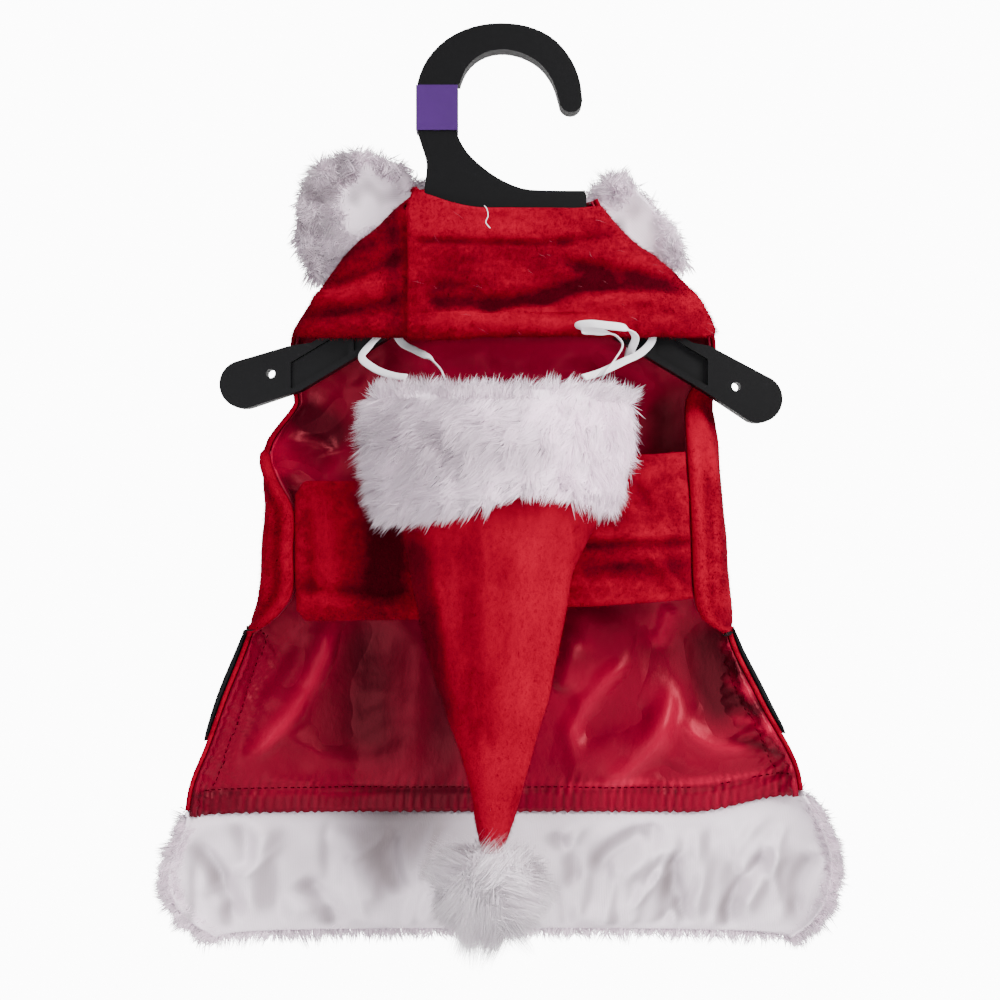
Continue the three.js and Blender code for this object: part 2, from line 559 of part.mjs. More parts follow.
// ---- the pompom ---------------------------------------------------------------------
function pompomPiece() {
  const core = new THREE.IcosahedronGeometry(POMPOM.core, 2);
  const weld = new Map();
  const positions = [];
  const index = [];
  for (let i = 0; i < core.attributes.position.count; i += 1) {
    const p = new THREE.Vector3().fromBufferAttribute(core.attributes.position, i);
    const key = p.toArray().map((v) => v.toFixed(3)).join(",");
    if (!weld.has(key)) {
      weld.set(key, positions.length / 3);
      positions.push(p.x, p.y, p.z);
    }
    index.push(weld.get(key));
  }
  let solid = toManifold(outwards(positions, index));
  const golden = Math.PI * (3 - Math.sqrt(5));
  for (let k = 0; k < POMPOM.locks; k += 1) {
    const height = 1 - (2 * (k + 0.5)) / POMPOM.locks;
    const ring = Math.sqrt(1 - height * height);
    const direction = new THREE.Vector3(ring * Math.cos(golden * k), ring * Math.sin(golden * k), height);
    if (direction.z > 0.62) continue;
    const reach = POMPOM.reach * (0.9 + 0.1 * Math.sin(7.3 * k));
    const side = new THREE.Vector3(0, 0, 1).cross(direction).normalize();
    const up = direction.clone().cross(side);
    const tip = direction.clone().multiplyScalar(reach).addScaledVector(side, 1.6 * Math.sin(3.1 * k));
    const base = [0, 1, 2].map((q) => {
      const turn = (2 * Math.PI * q) / 3 + k;
      return direction
        .clone()
        .multiplyScalar(POMPOM.core * 0.8)
        .addScaledVector(side, POMPOM.root * Math.cos(turn))
        .addScaledVector(up, POMPOM.root * Math.sin(turn));
    });
    const lock = outwards([...base, tip].flatMap((p) => p.toArray()), [0, 1, 2, 0, 3, 1, 1, 3, 2, 2, 3, 0]);
    solid = solid.add(toManifold(lock));
  }
  return fromManifold(solid).translate(POMPOM.x, POMPOM.y, POMPOM.z);
}

// ---- the elastic --------------------------------------------------------------------
const TAPE_WIDTH = 3.2;
const TAPE_THICK = 1.1;
const ELASTIC_LEFT = [
  [-35, -27, -125.6], [-40, -23, -124.6], [-48, -14, -121], [-52.6, -8.5, -116.4], [-49.6, -7.2, -112.0],
  [-46.2, -5.9, -107.6], [-45.6, -5.4, -102], [-45.8, -5.2, -96.4], [-45.8, -2.8, -91.4], [-45.2, 1.6, -91.0],
  [-44.4, 5.6, -95], [-42.5, 5.6, -103], [-38.5, 5.0, -109.8], [-33, -1.5, -113.4], [-27, -12, -117.4],
  [-22.5, -22, -122.4], [-21, -27, -125.6],
];
const ELASTIC_RIGHT = [
  [29.6, -27, -125.7], [36, -21.5, -123.4], [45, -13.6, -118.8], [52.6, -8, -114.6], [56.6, -5.7, -109.6],
  [56.4, -5.4, -103.6], [55.6, -3.2, -97.4], [54, 1.4, -96.6], [52.4, 5.3, -99.8], [50.8, 5.8, -107],
  [48.6, 4.6, -114], [47.6, -3.5, -116.6], [48.4, -11.6, -113.6], [49.4, -15.2, -109.8], [46.2, -17.3, -107.0],
  [39, -17.6, -105.8], [32, -17.4, -105.2], [28.2, -16.2, -105.7], [29.4, -14.9, -107.0], [35, -14.8, -107.6],
  [42, -15, -109.2], [44.6, -15.8, -112.6], [41.6, -19, -118.4], [38.2, -23.6, -123], [36.8, -26.6, -125.4],
];
// The last stretch of each tape, back to the brim, stands on its edge.
const ON_EDGE = { from: 0.8, to: 0.88 };
function tapePiece(points, lean, steps) {
  const curve = new THREE.CatmullRomCurve3(points.map((p) => new THREE.Vector3(...p)), false, "centripetal");
  const sides = 8;
  const rings = Array.from({ length: steps + 1 }, (_, i) => {
    const at = curve.getPointAt(i / steps);
    const tangent = curve.getTangentAt(i / steps);
    const turned = THREE.MathUtils.smoothstep(i / steps, ON_EDGE.from, ON_EDGE.to);
    const facing = lean.clone().lerp(new THREE.Vector3(0, -1, 0), turned);
    const wide = facing.addScaledVector(tangent, -facing.dot(tangent)).normalize();
    const thin = tangent.clone().cross(wide);
    return Array.from({ length: sides }, (_, j) => {
      const angle = (2 * Math.PI * (j + 0.5)) / sides;
      return at
        .clone()
        .addScaledVector(wide, (TAPE_WIDTH / 2) * Math.cos(angle))
        .addScaledVector(thin, (TAPE_THICK / 2) * Math.sin(angle));
    });
  });
  const positions = rings.flat().flatMap((p) => p.toArray());
  const index = [];
  const at = (i, j) => i * sides + (j % sides);
  for (let j = 0; j < sides; j += 1) {
    for (let i = 0; i < steps; i += 1) {
      index.push(at(i, j), at(i + 1, j + 1), at(i + 1, j), at(i, j), at(i, j + 1), at(i + 1, j + 1));
    }
  }
  for (let j = 1; j < sides - 1; j += 1) {
    index.push(at(0, 0), at(0, j + 1), at(0, j));
    index.push(at(steps, 0), at(steps, j), at(steps, j + 1));
  }
  return outwards(positions, index);
}

// ---- the hanger ---------------------------------------------------------------------
// Outline of the hook and stem, outside from the tip to the base, then inside back to the tip.
const HOOK_OUTSIDE = [
  [30.4, -19.4], [29.4, -12], [26.2, -4], [19.4, 4], [10.6, 8.4], [0.5, 9.9], [-10.6, 8.6], [-20.9, 3.8],
  [-28.5, -4.2], [-32.2, -13.7], [-32.7, -22], [-32.3, -29.6], [-31.2, -33.4], [-28.5, -42.9], [-29.3, -52.4],
];
const HOOK_INSIDE = [
  [31.2, -53.4], [18, -53.3], [8, -52.6], [-0.8, -49], [-8.4, -43.6], [-13.8, -38], [-17, -31.5], [-17.4, -25.8],
  [-16.7, -18.2], [-15.6, -11.8], [-12.4, -5.6], [-7, -1.5], [0, 0], [7.8, -1.5], [14.6, -5.6], [19.2, -12], [21.6, -19.4],
];
const BASE_BOTTOM = -76;
const TIP_LEFT = { x: -97.7, z: -126.5, radius: 9.1, holeX: -87.4, holeZ: -122.4, solidFrom: -80.6 };
const TIP_RIGHT = { x: 96.9, z: -132.0, radius: 9.1, holeX: 88.5, holeZ: -127.3, solidFrom: 78.5 };

const toShape = (points) => new THREE.Shape(points.map(([x, z]) => new THREE.Vector2(x, z)));

function hookShape() {
  const outside = new THREE.CatmullRomCurve3(HOOK_OUTSIDE.map(([x, z]) => new THREE.Vector3(x, z, 0)));
  const inside = new THREE.CatmullRomCurve3(HOOK_INSIDE.map(([x, z]) => new THREE.Vector3(x, z, 0)));
  const points = outside.getPoints(44).map((p) => [p.x, p.y]);
  points.push([-29.6, BASE_BOTTOM], [31.8, BASE_BOTTOM], [31.9, -55]);
  points.push(...inside.getPoints(46).map((p) => [p.x, p.y]));
  for (let k = 1; k < 8; k += 1) {
    const angle = Math.PI + (Math.PI * k) / 8;
    points.push([26 + 4.4 * Math.cos(angle), -19.4 + 4.4 * Math.sin(angle)]);
  }
  return toShape(points);
}

// One arm from the middle to its round tip; `side` is -1 for the left arm.
function armShape(tip, side) {
  const top = (x) => ARM_TOP - ARM_SLOPE * Math.abs(x);
  const bottom = (x) => ARM_BOTTOM - ARM_SLOPE * Math.abs(x);
  const shoulder = side * 72;
  const points = [[0, ARM_TOP], [shoulder, top(shoulder)], [tip.solidFrom, top(shoulder) - 1.2]];
  const [from, to] = [1.22, -1.95];
  for (let k = 0; k <= 14; k += 1) {
    const angle = lerp(from, to, k / 14);
    points.push([tip.x + side * tip.radius * Math.cos(angle), tip.z + tip.radius * Math.sin(angle)]);
  }
  points.push([side * 76, bottom(76)], [0, ARM_BOTTOM]);
  return toShape(points);
}

// The stem is narrower where the clip sits, so the clip lies flush with it.
const NOTCH = { left: -31.5, right: -17.7, low: -31.2, high: -13.0, reach: 6 };
const CLIP = { left: -32.5, right: -16.7, low: -30.6, high: -13.6, slack: 0.3, depth: 0.7 };

const box = (x0, x1, z0, z1) => toShape([[x0, z0], [x1, z0], [x1, z1], [x0, z1]]);

function hangerPiece() {
  let solid = slab(hookShape(), HANGER_DEPTH);
  const { left, right, low, high, reach } = NOTCH;
  for (const [x0, x1] of [[left - reach, left], [right, right + reach]]) {
    solid = solid.subtract(slab(box(x0, x1, low, high), HANGER_DEPTH + 2));
  }
  for (const [tip, side] of [[TIP_LEFT, -1], [TIP_RIGHT, 1]]) {
    solid = solid.add(slab(armShape(tip, side), HANGER_DEPTH));
    const hole = new THREE.Shape().absarc(tip.holeX, tip.holeZ, HOLE_RADIUS, 0, 2 * Math.PI);
    solid = solid.subtract(slab(hole, HANGER_DEPTH + 2, 0, 12));
    const [near, far] = [side * 30, tip.solidFrom - side * 0.8];
    const line = (x, from, inset) => from - ARM_SLOPE * Math.abs(x) + inset;
    const bays = [[near, side * 56], [side * 58, far]];
    for (const [a, b] of bays) {
      const pocket = toShape([
        [a, line(a, ARM_TOP, -2.8)], [b, line(b, ARM_TOP, -2.8)],
        [b, line(b, ARM_BOTTOM, 2.8)], [a, line(a, ARM_BOTTOM, 2.8)],
      ]);
      for (const face of [-1, 1]) solid = solid.subtract(slab(pocket, 3, face * 2.8));
    }
  }
  return fromManifold(solid);
}

function clipPiece() {
  const { left, right, low, high, slack, depth } = CLIP;
  const outer = slab(box(left, right, low, high), HANGER_DEPTH + 2 * depth + slack);
  const inner = slab(box(NOTCH.left - slack, NOTCH.right + slack, low - 1, high + 1), HANGER_DEPTH + slack);
  return fromManifold(outer.subtract(inner));
}

// ---- assembly -----------------------------------------------------------------------
const COLOURS = {
  plush: 0xb3121c, satin: 0x8a1620, fur: 0xf3f1f4, belt: 0x15151a, plastic: 0x101214, clip: 0x5b2a86, elastic: 0xf0eef0,
};
const suit = new THREE.Group();

function add(name, geometry, colour, roughness) {
  const mesh = new THREE.Mesh(geometry, new THREE.MeshStandardMaterial({ color: COLOURS[colour], roughness }));
  mesh.name = name;
  suit.add(mesh);
}

add("back_panel", panelPiece(() => LINING + SEAM, () => COVER), "plush", 0.9);
add("back_lining", panelPiece(() => 0, () => LINING), "satin", 0.35);
add("neck_strap_left", strapPiece(neckLeft), "plush", 0.9);
add("neck_strap_right", strapPiece(neckRight), "plush", 0.9);
add("belly_strap_left", strapPiece(bellyLeft), "plush", 0.9);
add("belly_strap_right", strapPiece(bellyRight), "plush", 0.9);
add("belt", beltPiece(), "belt", 0.6);
add("hem_trim", hemPiece(), "fur", 0.95);
add("collar_trim", collarPiece(), "fur", 0.95);
add("hat_cone", conePiece(), "plush", 0.9);
add("hat_brim", brimPiece(), "fur", 0.95);
add("hat_pompom", pompomPiece(), "fur", 0.95);
const armLeft = new THREE.Vector3(-1, 0, -ARM_SLOPE).normalize();
const armRight = new THREE.Vector3(1, 0, -ARM_SLOPE).normalize();
add("hat_elastic_left", tapePiece(ELASTIC_LEFT, armLeft, 36), "elastic", 0.8);
add("hat_elastic_right", tapePiece(ELASTIC_RIGHT, armRight, 60), "elastic", 0.8);
add("hanger", hangerPiece(), "plastic", 0.4);
add("size_clip", clipPiece(), "clip", 0.5);

export default suit;
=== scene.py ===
"""A small dog's santa coat and hat on a moulded hanger: cloth shells, creases, fur, finishes and light."""

import logging
import math
from collections.abc import Callable, Sequence
from dataclasses import dataclass, replace
from enum import Enum
from functools import cache

import bpy
import numpy as np
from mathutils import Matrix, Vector


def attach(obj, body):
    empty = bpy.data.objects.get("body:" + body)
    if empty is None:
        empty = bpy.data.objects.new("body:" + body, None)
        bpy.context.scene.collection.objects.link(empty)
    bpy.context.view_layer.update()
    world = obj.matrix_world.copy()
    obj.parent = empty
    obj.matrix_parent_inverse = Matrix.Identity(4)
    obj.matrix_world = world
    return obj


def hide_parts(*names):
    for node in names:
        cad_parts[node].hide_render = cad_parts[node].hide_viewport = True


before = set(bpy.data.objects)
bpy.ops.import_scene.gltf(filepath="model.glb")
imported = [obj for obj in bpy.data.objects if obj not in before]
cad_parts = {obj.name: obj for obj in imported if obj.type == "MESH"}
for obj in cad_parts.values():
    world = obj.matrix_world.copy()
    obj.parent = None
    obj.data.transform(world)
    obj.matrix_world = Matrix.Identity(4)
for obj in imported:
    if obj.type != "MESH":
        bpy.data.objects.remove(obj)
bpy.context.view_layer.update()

log = logging.getLogger("suit")

Array = np.ndarray
Piece = bpy.types.Object
Material = bpy.types.Material
Socket = bpy.types.NodeSocket
Triple = tuple[float, float, float]
Value = Socket | float | tuple[float, ...]  # what an input takes: a link or a constant
Edge = Callable[[Array], Array]

MM = 0.001  # the tables are in millimetres, and Blender's scene in metres
LINING = 1.0  # the lining's thickness
PLUSH = 2.0  # the plush's thickness
SEAM = 0.4  # the gap between two sheets that are sewn together
COVER = LINING + SEAM + PLUSH
FULLNESS = 0.7  # power that rounds the coat's section
EDGE_MARGIN = 0.018  # angle left open between the panel's edge and the section's side
FINE_STEPS = 400  # points along a section before it is cut in equal steps


# ---- tables -------------------------------------------------------------------------
class Profile:
    """A table with named columns, read smoothly between its rows by its first column."""

    def __init__(self, names: str, rows: Sequence[tuple[float, ...]]) -> None:
        """Keeps the rows under the columns' names."""
        self.names = names.split()
        self.data = np.array(rows, float)

    def at(self, key: Array) -> dict[str, Array]:
        """Every column at the places `key`, by cubic pieces that join with one slope.

        Args:
            key: values of the first column, of any shape.

        Returns:
            One array of that shape for each column's name.
        """
        k = self.data[:, 0]
        sign = 1.0 if k[-1] > k[0] else -1.0
        q = np.clip(np.asarray(key, float), min(k[0], k[-1]), max(k[0], k[-1]))
        i = np.clip(np.searchsorted(sign * k, sign * q, side="right") - 1, 0, len(k) - 2)
        span = k[i + 1] - k[i]
        t = (q - k[i]) / span
        out = {self.names[0]: q}
        for column, name in enumerate(self.names[1:], 1):
            v = self.data[:, column]
            slope = np.empty_like(v)
            slope[1:-1] = (v[2:] - v[:-2]) / (k[2:] - k[:-2])
            slope[0] = (v[1] - v[0]) / (k[1] - k[0])
            slope[-1] = (v[-1] - v[-2]) / (k[-1] - k[-2])
            out[name] = (
                (2 * t**3 - 3 * t**2 + 1) * v[i]
                + (t**3 - 2 * t**2 + t) * slope[i] * span
                + (3 * t**2 - 2 * t**3) * v[i + 1]
                + (t**3 - t**2) * slope[i + 1] * span
            )
        return out


# Sections of the coat from the neck down, and where the panel's front edges lie.
COAT = Profile(
    "z left right centre back front edge_l edge_r",
    [
        (-53, -31.5, 35.5, 1, 8, 7.5, -31.5, 35.5), (-61, -41.5, 39.5, 1.2, 9, 8, -41.5, 39.5),
        (-68.4, -49, 45, 1.5, 9.5, 8.5, -49, 45), (-76, -58.5, 53.5, 2, 10.5, 9, -58.5, 53.5),
        (-87.4, -67.5, 69.5, 3, 12, 11, -67.5, 69.5), (-101, -77, 80, 4.5, 13.5, 13.5, -77, 80),
        (-107.5, -81.5, 82.5, 6.5, 13.5, 15.8, -81.5, 82.5), (-113, -82.5, 83.5, 10.8, 11.5, 3, -82.5, 83.5),
        (-117.5, -82.2, 83.3, 12.4, 10.8, 4.2, -82.2, 81), (-122, -82, 83, 12.9, 10.8, 4.5, -82, 77),
        (-128, -81.7, 82.7, 12.9, 10.8, 4.5, -81.7, 72.5), (-134, -81.5, 82.5, 12, 12.2, 4.4, -81.5, 70.5),
        (-149, -91, 84, 7.5, 17, 11.5, -91, 69.5), (-161, -91.5, 84.5, 6.5, 18, 17, -88, 69.5),
        (-174, -90.5, 85.5, 6, 18, 19.5, -81, 70), (-190, -90.8, 87, 6, 18, 20, -81, 70.5),
        (-205, -92.5, 88, 6.5, 17, 18.5, -81.5, 71.5), (-214, -96, 88.5, 7, 16.5, 15, -88, 75),
        (-222, -98.5, 89, 7, 16, 8, -98, 86), (-231, -101.8, 92.5, 7, 15, 6, -101.8, 92.5),
        (-246, -107.8, 100, 6, 14, 5, -107.8, 100), (-266, -115, 109.5, 5, 13, 5, -115, 109.5),
        (-280, -120.5, 114.5, 4.2, 12.5, 5, -120.5, 114.5), (-292, -122.5, 116.5, 4, 12, 5, -122.5, 116.5),
    ],
)
HEM = Profile(
    "z left right centre back front inset",
    [
        (-292.2, -122, 117, 4, 12, 5, 4.5), (-296, -124, 121.5, 4, 12, 5, 6.5),
        (-305, -127.5, 126.5, 4, 12, 5, 7.5), (-314.6, -130.5, 129.5, 4, 12, 5, 8),
        (-324, -129, 128, 4, 12, 5, 8), (-332, -124.5, 124.5, 4, 12, 5, 7),
        (-338.5, -117, 118.5, 4, 12, 5, 4.5),
    ],
)
# The trim's knit side reaches further towards its outline than the solid's own inside does.
KNIT_INSETS = (3.6, 3.0, 3.0, 3.0, 4.2, 7.0, 10.5)
HEM_KNIT = Profile(
    "z left right centre back front inset",
    [(*row[:6], inset) for row, inset in zip(HEM.data.tolist(), KNIT_INSETS, strict=True)],
)
# Where the collar is sewn on (turn round the section from the right over the back, and height) and its edge.
COLLAR = Profile(
    "k turn root_z x y z bow",
    [
        (0, 0.455, -88, -73, 9, -81.5, 0.5), (1, 0.45, -81.5, -77, 9, -70, 2),
        (2, 0.445, -75, -77.5, 9, -56, 4.5), (3, 0.44, -69, -72.5, 8, -45, 6),
        (4, 0.435, -63.5, -62.5, 7.5, -38.8, 6.5), (5, 0.425, -59.5, -49.5, 8, -38.5, 6),
        (6, 0.4, -57.5, -36.5, 12, -44.5, 4), (7, 0.34, -57.5, -22, 22, -58, 2),
        (8, 0.25, -57.5, 1, 27, -68, 1.5), (9, 0.16, -57.5, 22, 23, -60, 2),
        (10, 0.095, -59, 38.5, 12.5, -49, 3), (11, 0.07, -63, 46.5, 9.5, -46, 3.5),
        (12, 0.06, -68.5, 56, 9, -55.5, 3), (13, 0.055, -75, 65.5, 9, -66, 2),
        (14, 0.05, -82.5, 70.5, 9, -78.5, 0.5),
    ],
)
# Sections of the hat from its mouth down.
CONE = Profile(
    "z left right depth",
    [
        (-160, -39.7, 38.9, 6.6), (-178, -36.4, 34.1, 6.6), (-184, -35.6, 31, 8.6), (-196, -33, 25.8, 10),
        (-218, -28.8, 21.8, 10.6), (-238, -23.4, 17.2, 9.6), (-256, -17.2, 12.4, 8), (-272, -12, 8, 6.4),
        (-286, -9.6, 4.4, 5.2), (-296, -7.2, 0.2, 3.6),
    ],
)
BRIM = Profile(
    "z left right depth",
    [
        (-127.5, -46, 46.5, 10.5), (-132, -50, 50, 12.6), (-140, -51.5, 51.5, 13.8), (-152, -50.6, 50.6, 14),
        (-164, -48.6, 48.4, 13.8), (-172, -46.5, 45.5, 12.8), (-177.5, -43, 41, 10.8),
    ],
)
MOUTH = Profile(
    "z left right depth",
    [
        (-127.5, -41, 41.5, 6), (-140, -42.5, 42.5, 7), (-150, -42, 42, 7.1), (-160, -40.2, 39.4, 7.1),
        (-178, -36.9, 34.6, 7.1),
    ],
)


@dataclass(frozen=True)
class Crease:
    """A soft line of the cloth seen from the front: a ridge where `height` is positive, else a trough."""

    x0: float
    z0: float
    x1: float
    z1: float
    width: float
    height: float
    bend: float = 0.0

    def relief(self, x: Array, z: Array) -> Array:
        """Height of this crease: a bell across its bent line, faded out at both ends.

        Args:
            x: the points' places across, in millimetres.
            z: their heights.

        Returns:
            The relief at each point, in millimetres.
        """
        dx, dz = self.x1 - self.x0, self.z1 - self.z0
        length = math.hypot(dx, dz)
        along = ((x - self.x0) * dx + (z - self.z0) * dz) / length**2
        across = ((x - self.x0) * dz - (z - self.z0) * dx) / length
        across = across + self.bend * np.sin(np.pi * np.clip(along, 0, 1))
        fade = smooth((along + 0.12) / 0.3) * smooth((1.12 - along) / 0.3)
        return self.height * fade * np.exp(-((across / self.width) ** 2))


def creases(*rows: tuple[float, ...]) -> tuple[Crease, ...]:
    """Creases from rows of x0, z0, x1, z1, width, height and sometimes bend."""
    return tuple(Crease(*row) for row in rows)


def relief(lines: Sequence[Crease], x: Array, z: Array) -> Array:
    """Sum of the heights of several creases."""
    return sum((line.relief(x, z) for line in lines), np.zeros_like(x))


# The coat's broad folds, which the solids have too.
FOLDS = creases(
    (-64, -214, -99, -262, 9, 3), (-82, -222, -108, -268, 6, -2), (-47, -222, -60, -286, 10, -2),
    (38, -214, 22, -244, 8, 3), (22, -276, 76, -254, 8, 2.6), (62, -214, 74, -268, 9, -3.2),
    (97, -226, 107, -272, 6, 1.8), (2, -220, -6, -286, 12, 2), (-30, -120, -60, -165, 12, 2),
    (25, -112, 55, -150, 10, 2), (-58, -118, -66, -150, 8, -1.8),
)
STRAP_CREASES = creases(
    (-28, -96, -2, -98.2, 2.8, -2.3), (-8, -98.4, 20, -94.4, 3, -2.4), (14, -95.8, 42, -88.2, 3, -2.3, 1),
    (34, -90, 69, -90.6, 2.6, -2), (22, -81.6, 66, -88.4, 2.6, -1.9, -1), (-35, -73.2, 24, -74.2, 1.5, -1.3),
    (20, -73.6, 42, -70.2, 1.5, -0.9), (-26, -90.6, -8, -92, 2.2, -1), (-18, -102.4, 34, -99.6, 3.2, 1.5),
    (26, -96, 62, -96.4, 3.4, 1.5), (24, -77.6, 60, -83.4, 2.6, 1.2), (-70, -96, -37, -88, 2.8, 1.5),
    (-66, -91, -38, -79, 2.4, -1.2), (-74, -102, -38, -96, 2.4, -1.4),
)
BELLY_CREASES = creases(
    (18, -187.4, 70, -186.2, 2, -1.6), (22, -183.6, 70, -182.8, 2.4, 1.2),
    (28, -197, 70, -200.4, 3.2, -0.8, 1.5), (46, -160, 56, -184, 3.4, -1, 2), (54, -190, 66, -204, 2.4, 1.1),
    (-78, -207, -30, -209, 3, 1.3), (-76, -203, -34, -204, 2.4, -1.2), (-40, -168, -44, -205, 6, -1.8),
    (-72, -170, -71, -206, 2.2, -1), (-66, -172, -64, -204, 4, 1.1),
)
CONE_FOLDS = creases(
    (-14, -184, -12, -262, 5, -1.2), (12, -184, 3, -250, 6, 1.2), (-27, -184, -18, -240, 4, 1),
)
# Creases finer than the solids hold.
SATIN_CREASES = creases(
    (-65, -215, -99, -272, 4.2, 3.2, 5), (-56, -216, -66, -268, 6, -2.4, -2),
    (-84, -228, -74, -262, 5, -1.2, 3), (-101, -246, -110, -274, 3, 1.8, 1), (-92, -279, -72, -281, 2.4, 1),
    (-84, -262, -58, -272, 3.4, 1.2, -2), (-34, -220, -40, -276, 7, 1.8, 4),
    (66, -212, 61, -226, 3.6, 2.4, 1), (50, -234, 26, -266, 4.6, 3, -4), (67, -244, 40, -281, 4.4, 3.2, 5),
    (70, -258, 95, -267, 3.6, 2.4, -3), (79, -218, 86, -262, 4.6, -2.8, -3),
    (57, -219, 44, -250, 4.6, -2.4, 3), (27, -224, 23, -244, 3.6, 1.8, 1), (92, -236, 104, -268, 3.6, 1.8, 2),
    (30, -262, 56, -254, 4, -1.6, 2), (60, -274, 84, -280, 3.6, -1.4, -2), (24, -118, 48, -136, 4, 1.8, 3),
    (36, -114, 62, -128, 3.6, -1.4, 2), (-10, -114, 14, -126, 4.6, 1.3, -2),
    (-44, -112, -60, -128, 4, 1.6, 2), (-62, -132, -84, -146, 3.4, -1.8, 3),
    (-86, -146, -66, -154, 3.8, 2.6, 3), (-88, -156, -70, -163, 2.8, -1.8, 2),
    (-88, -164, -66, -169, 3, 2.2, -2),
)
HEM_CREASES = creases(
    (35, -314, 60, -297, 4, -2.4, 2), (46, -317, 72, -303, 4.2, 2.4, 2), (66, -308, 72, -334, 3.6, -2.2, -2),
    (76, -300, 74, -332, 4.2, 2.2, 2), (84, -334, 103, -306, 3.8, -2.6, 2),
    (93, -330, 110, -304, 4.2, 2.6, 2), (112, -330, 121, -306, 3.4, -2.4, 2), (104, -300, 92, -314, 3, 1.4),
    (28, -330, 44, -334, 4, 1.6), (20, -300, 28, -320, 3.6, -1.8, 3), (-77, -318, -64, -337, 4.4, -2.2, 2),
    (-104, -292, -98, -312, 4, -1.8, 2), (-90, -296, -97, -330, 5, 2.4, -3),
    (-118, -303, -104, -334, 3.6, -2, 3), (-60, -298, -54, -330, 6, 2, 3), (-44, -300, -38, -322, 5, -2, -3),
    (-24, -306, -30, -334, 4.2, 1.8, 2), (-84, -330, -58, -324, 4, 1.4),
)
PANEL_CREASES = creases(
    (72, -122, 78, -206, 2.4, 1.4, 2.5), (76, -120, 83, -212, 2, -1.4, 2), (81, -128, 84, -190, 2.4, 1.2, 1),
    (-84, -168, -88, -214, 2.2, 1.2, -1), (-88, -174, -94, -216, 2, -1), (-60, -190, 58, -196, 7, 1.2, 4),
    (-66, -120, 40, -150, 8, -1.2, 3), (-20, -222, 30, -288, 8, 1.2, -4),
)
# Where the lining catches the light or lies in a hollow.
SATIN_SHADE = creases(
    (84, -226, 97, -231, 1.8, 1.5, 0.6), (83, -233, 99, -238, 1.7, -1.8, 0.6),
    (86, -240, 101, -244, 1.7, 1.5, -0.5), (86, -247, 104, -252, 1.8, -1.8, 0.8),
    (88, -255, 106, -258, 1.7, 1.4, 0.5), (88, -263, 109, -268, 1.8, -1.5, 0.8),
    (22, -283, 60, -280, 1.6, 1.2, 0.8), (62, -281, 104, -276, 1.6, 1.1, -0.8),
    (-100, -284, -48, -285, 1.6, 0.9, 0.8), (-64, -216, -97, -268, 4.2, 1.6, 5),
    (-48, -214, -52, -272, 14, -1.3, -2), (-20, -216, -24, -292, 13, -1.2), (81, -218, 88, -258, 9, -1.7, -3),
    (68, -244, 40, -282, 5.5, 1, 5), (48, -234, 26, -266, 5, 0.7, -4), (66, -211, 60, -228, 4.5, 1.1, 1),
    (70, -258, 95, -267, 4, 0.8, -3), (34, -214, 30, -230, 7, 0.7), (-60, -212, 60, -213, 3, -0.6),
    (10, -120, 62, -124, 9, 1.3, 2), (-34, -115, 44, -116, 8, 3.4), (44, -122, 57, -136, 6, 2.2, 1),
    (-88, -158, -64, -163, 6, 0.9), (-91, -147, -84, -160, 5.5, 1.9), (-80, -134, -62, -148, 8, -1.6),
    (64, -130, 66, -152, 6, -0.9),
)
# Where the nap looks lighter or darker: partly its own tone, brushed up or lying down, and partly painted
# light and shade, such as the hat's shadow on the belly strap, the shade by the strap's overlapped edge and
# the cone's darker left side.
STRAP_NAP_AND_SHADE = creases(
    (-34, -66, 20, -68, 6.5, 1.3), (-24, -82, 22, -82, 6.5, -0.55), (-30, -104, 52, -103, 3.4, 0.8),
    (-40, -62, -40, -108, 3.6, -1.5), (56, -80, 80, -104, 6, 0.5), (-74, -98, -44, -86, 4, 0.5),
    (-74, -88, -44, -72, 3.4, -0.8),
)
BELLY_NAP_AND_SHADE = creases(
    (-44, -160, -44, -212, 10, -1.6), (-70, -168, -66, -206, 6, 0.8), (20, -208.5, 70, -205.5, 2, 0.9),
    (26, -195, 70, -193.5, 3, -0.9), (30, -172, 66, -166, 8, 0.3), (60, -156, 64, -200, 4, -0.5),
)
CONE_NAP_AND_SHADE = creases(
    (-33, -180, -20, -250, 5, -1.4), (-24, -196, -14, -250, 6, 0.25), (-14, -182, -12, -256, 5, -0.5),
    (12, -180, 4, -270, 9, 0.9), (24, -182, 14, -250, 3.5, 0.6), (-5, -254, -5, -296, 8, 0.9),
    (-2, -180, -4, -230, 4, 0.3),
)


# ---- small mathematics --------------------------------------------------------------
def smooth(t: Array | float) -> Array:
    """A soft step from 0 to 1."""
    s = np.clip(t, 0, 1)
    return s * s * (3 - 2 * s)


def bell(x: Array, middle: float, width: float) -> Array:
    """A bell of height 1: e to minus the square of the distance in widths."""
    return np.exp(-(((x - middle) / width) ** 2))


def signed_power(v: Array, p: float) -> Array:
    """|v| to the power p, with v's sign."""
    return np.sign(v) * np.abs(v) ** p


def length_of(v: Array) -> Array:
    """Length of each vector."""
    return np.linalg.norm(v, axis=-1)


def unit(v: Array) -> Array:
    """Vectors of length one."""
    return v / np.maximum(np.linalg.norm(v, axis=-1, keepdims=True), 1e-9)


def run(line: Array) -> Array:
    """Distance along a line of points, from 0 at its first."""
    return np.concatenate([[0], np.cumsum(length_of(np.diff(line, axis=0)))])


def closed(grid: Array) -> Array:
    """A ring's grid with its first column again at its end."""
    return np.concatenate([grid, grid[:, :1]], 1)


def grid_normals(grid: Array, ring: bool = False) -> Array:
    """Normals of a grid: along its rows crossed with down its columns.

    Args:
        grid: rows and columns of points.
        ring: whether the last column meets the first.

    Returns:
        A unit vector for each point.
    """
    down = np.gradient(grid, axis=0)
    if ring:
        across = np.roll(grid, -1, axis=1) - np.roll(grid, 1, axis=1)
    else:
        across = np.gradient(grid, axis=1)
    return unit(np.cross(across, down))


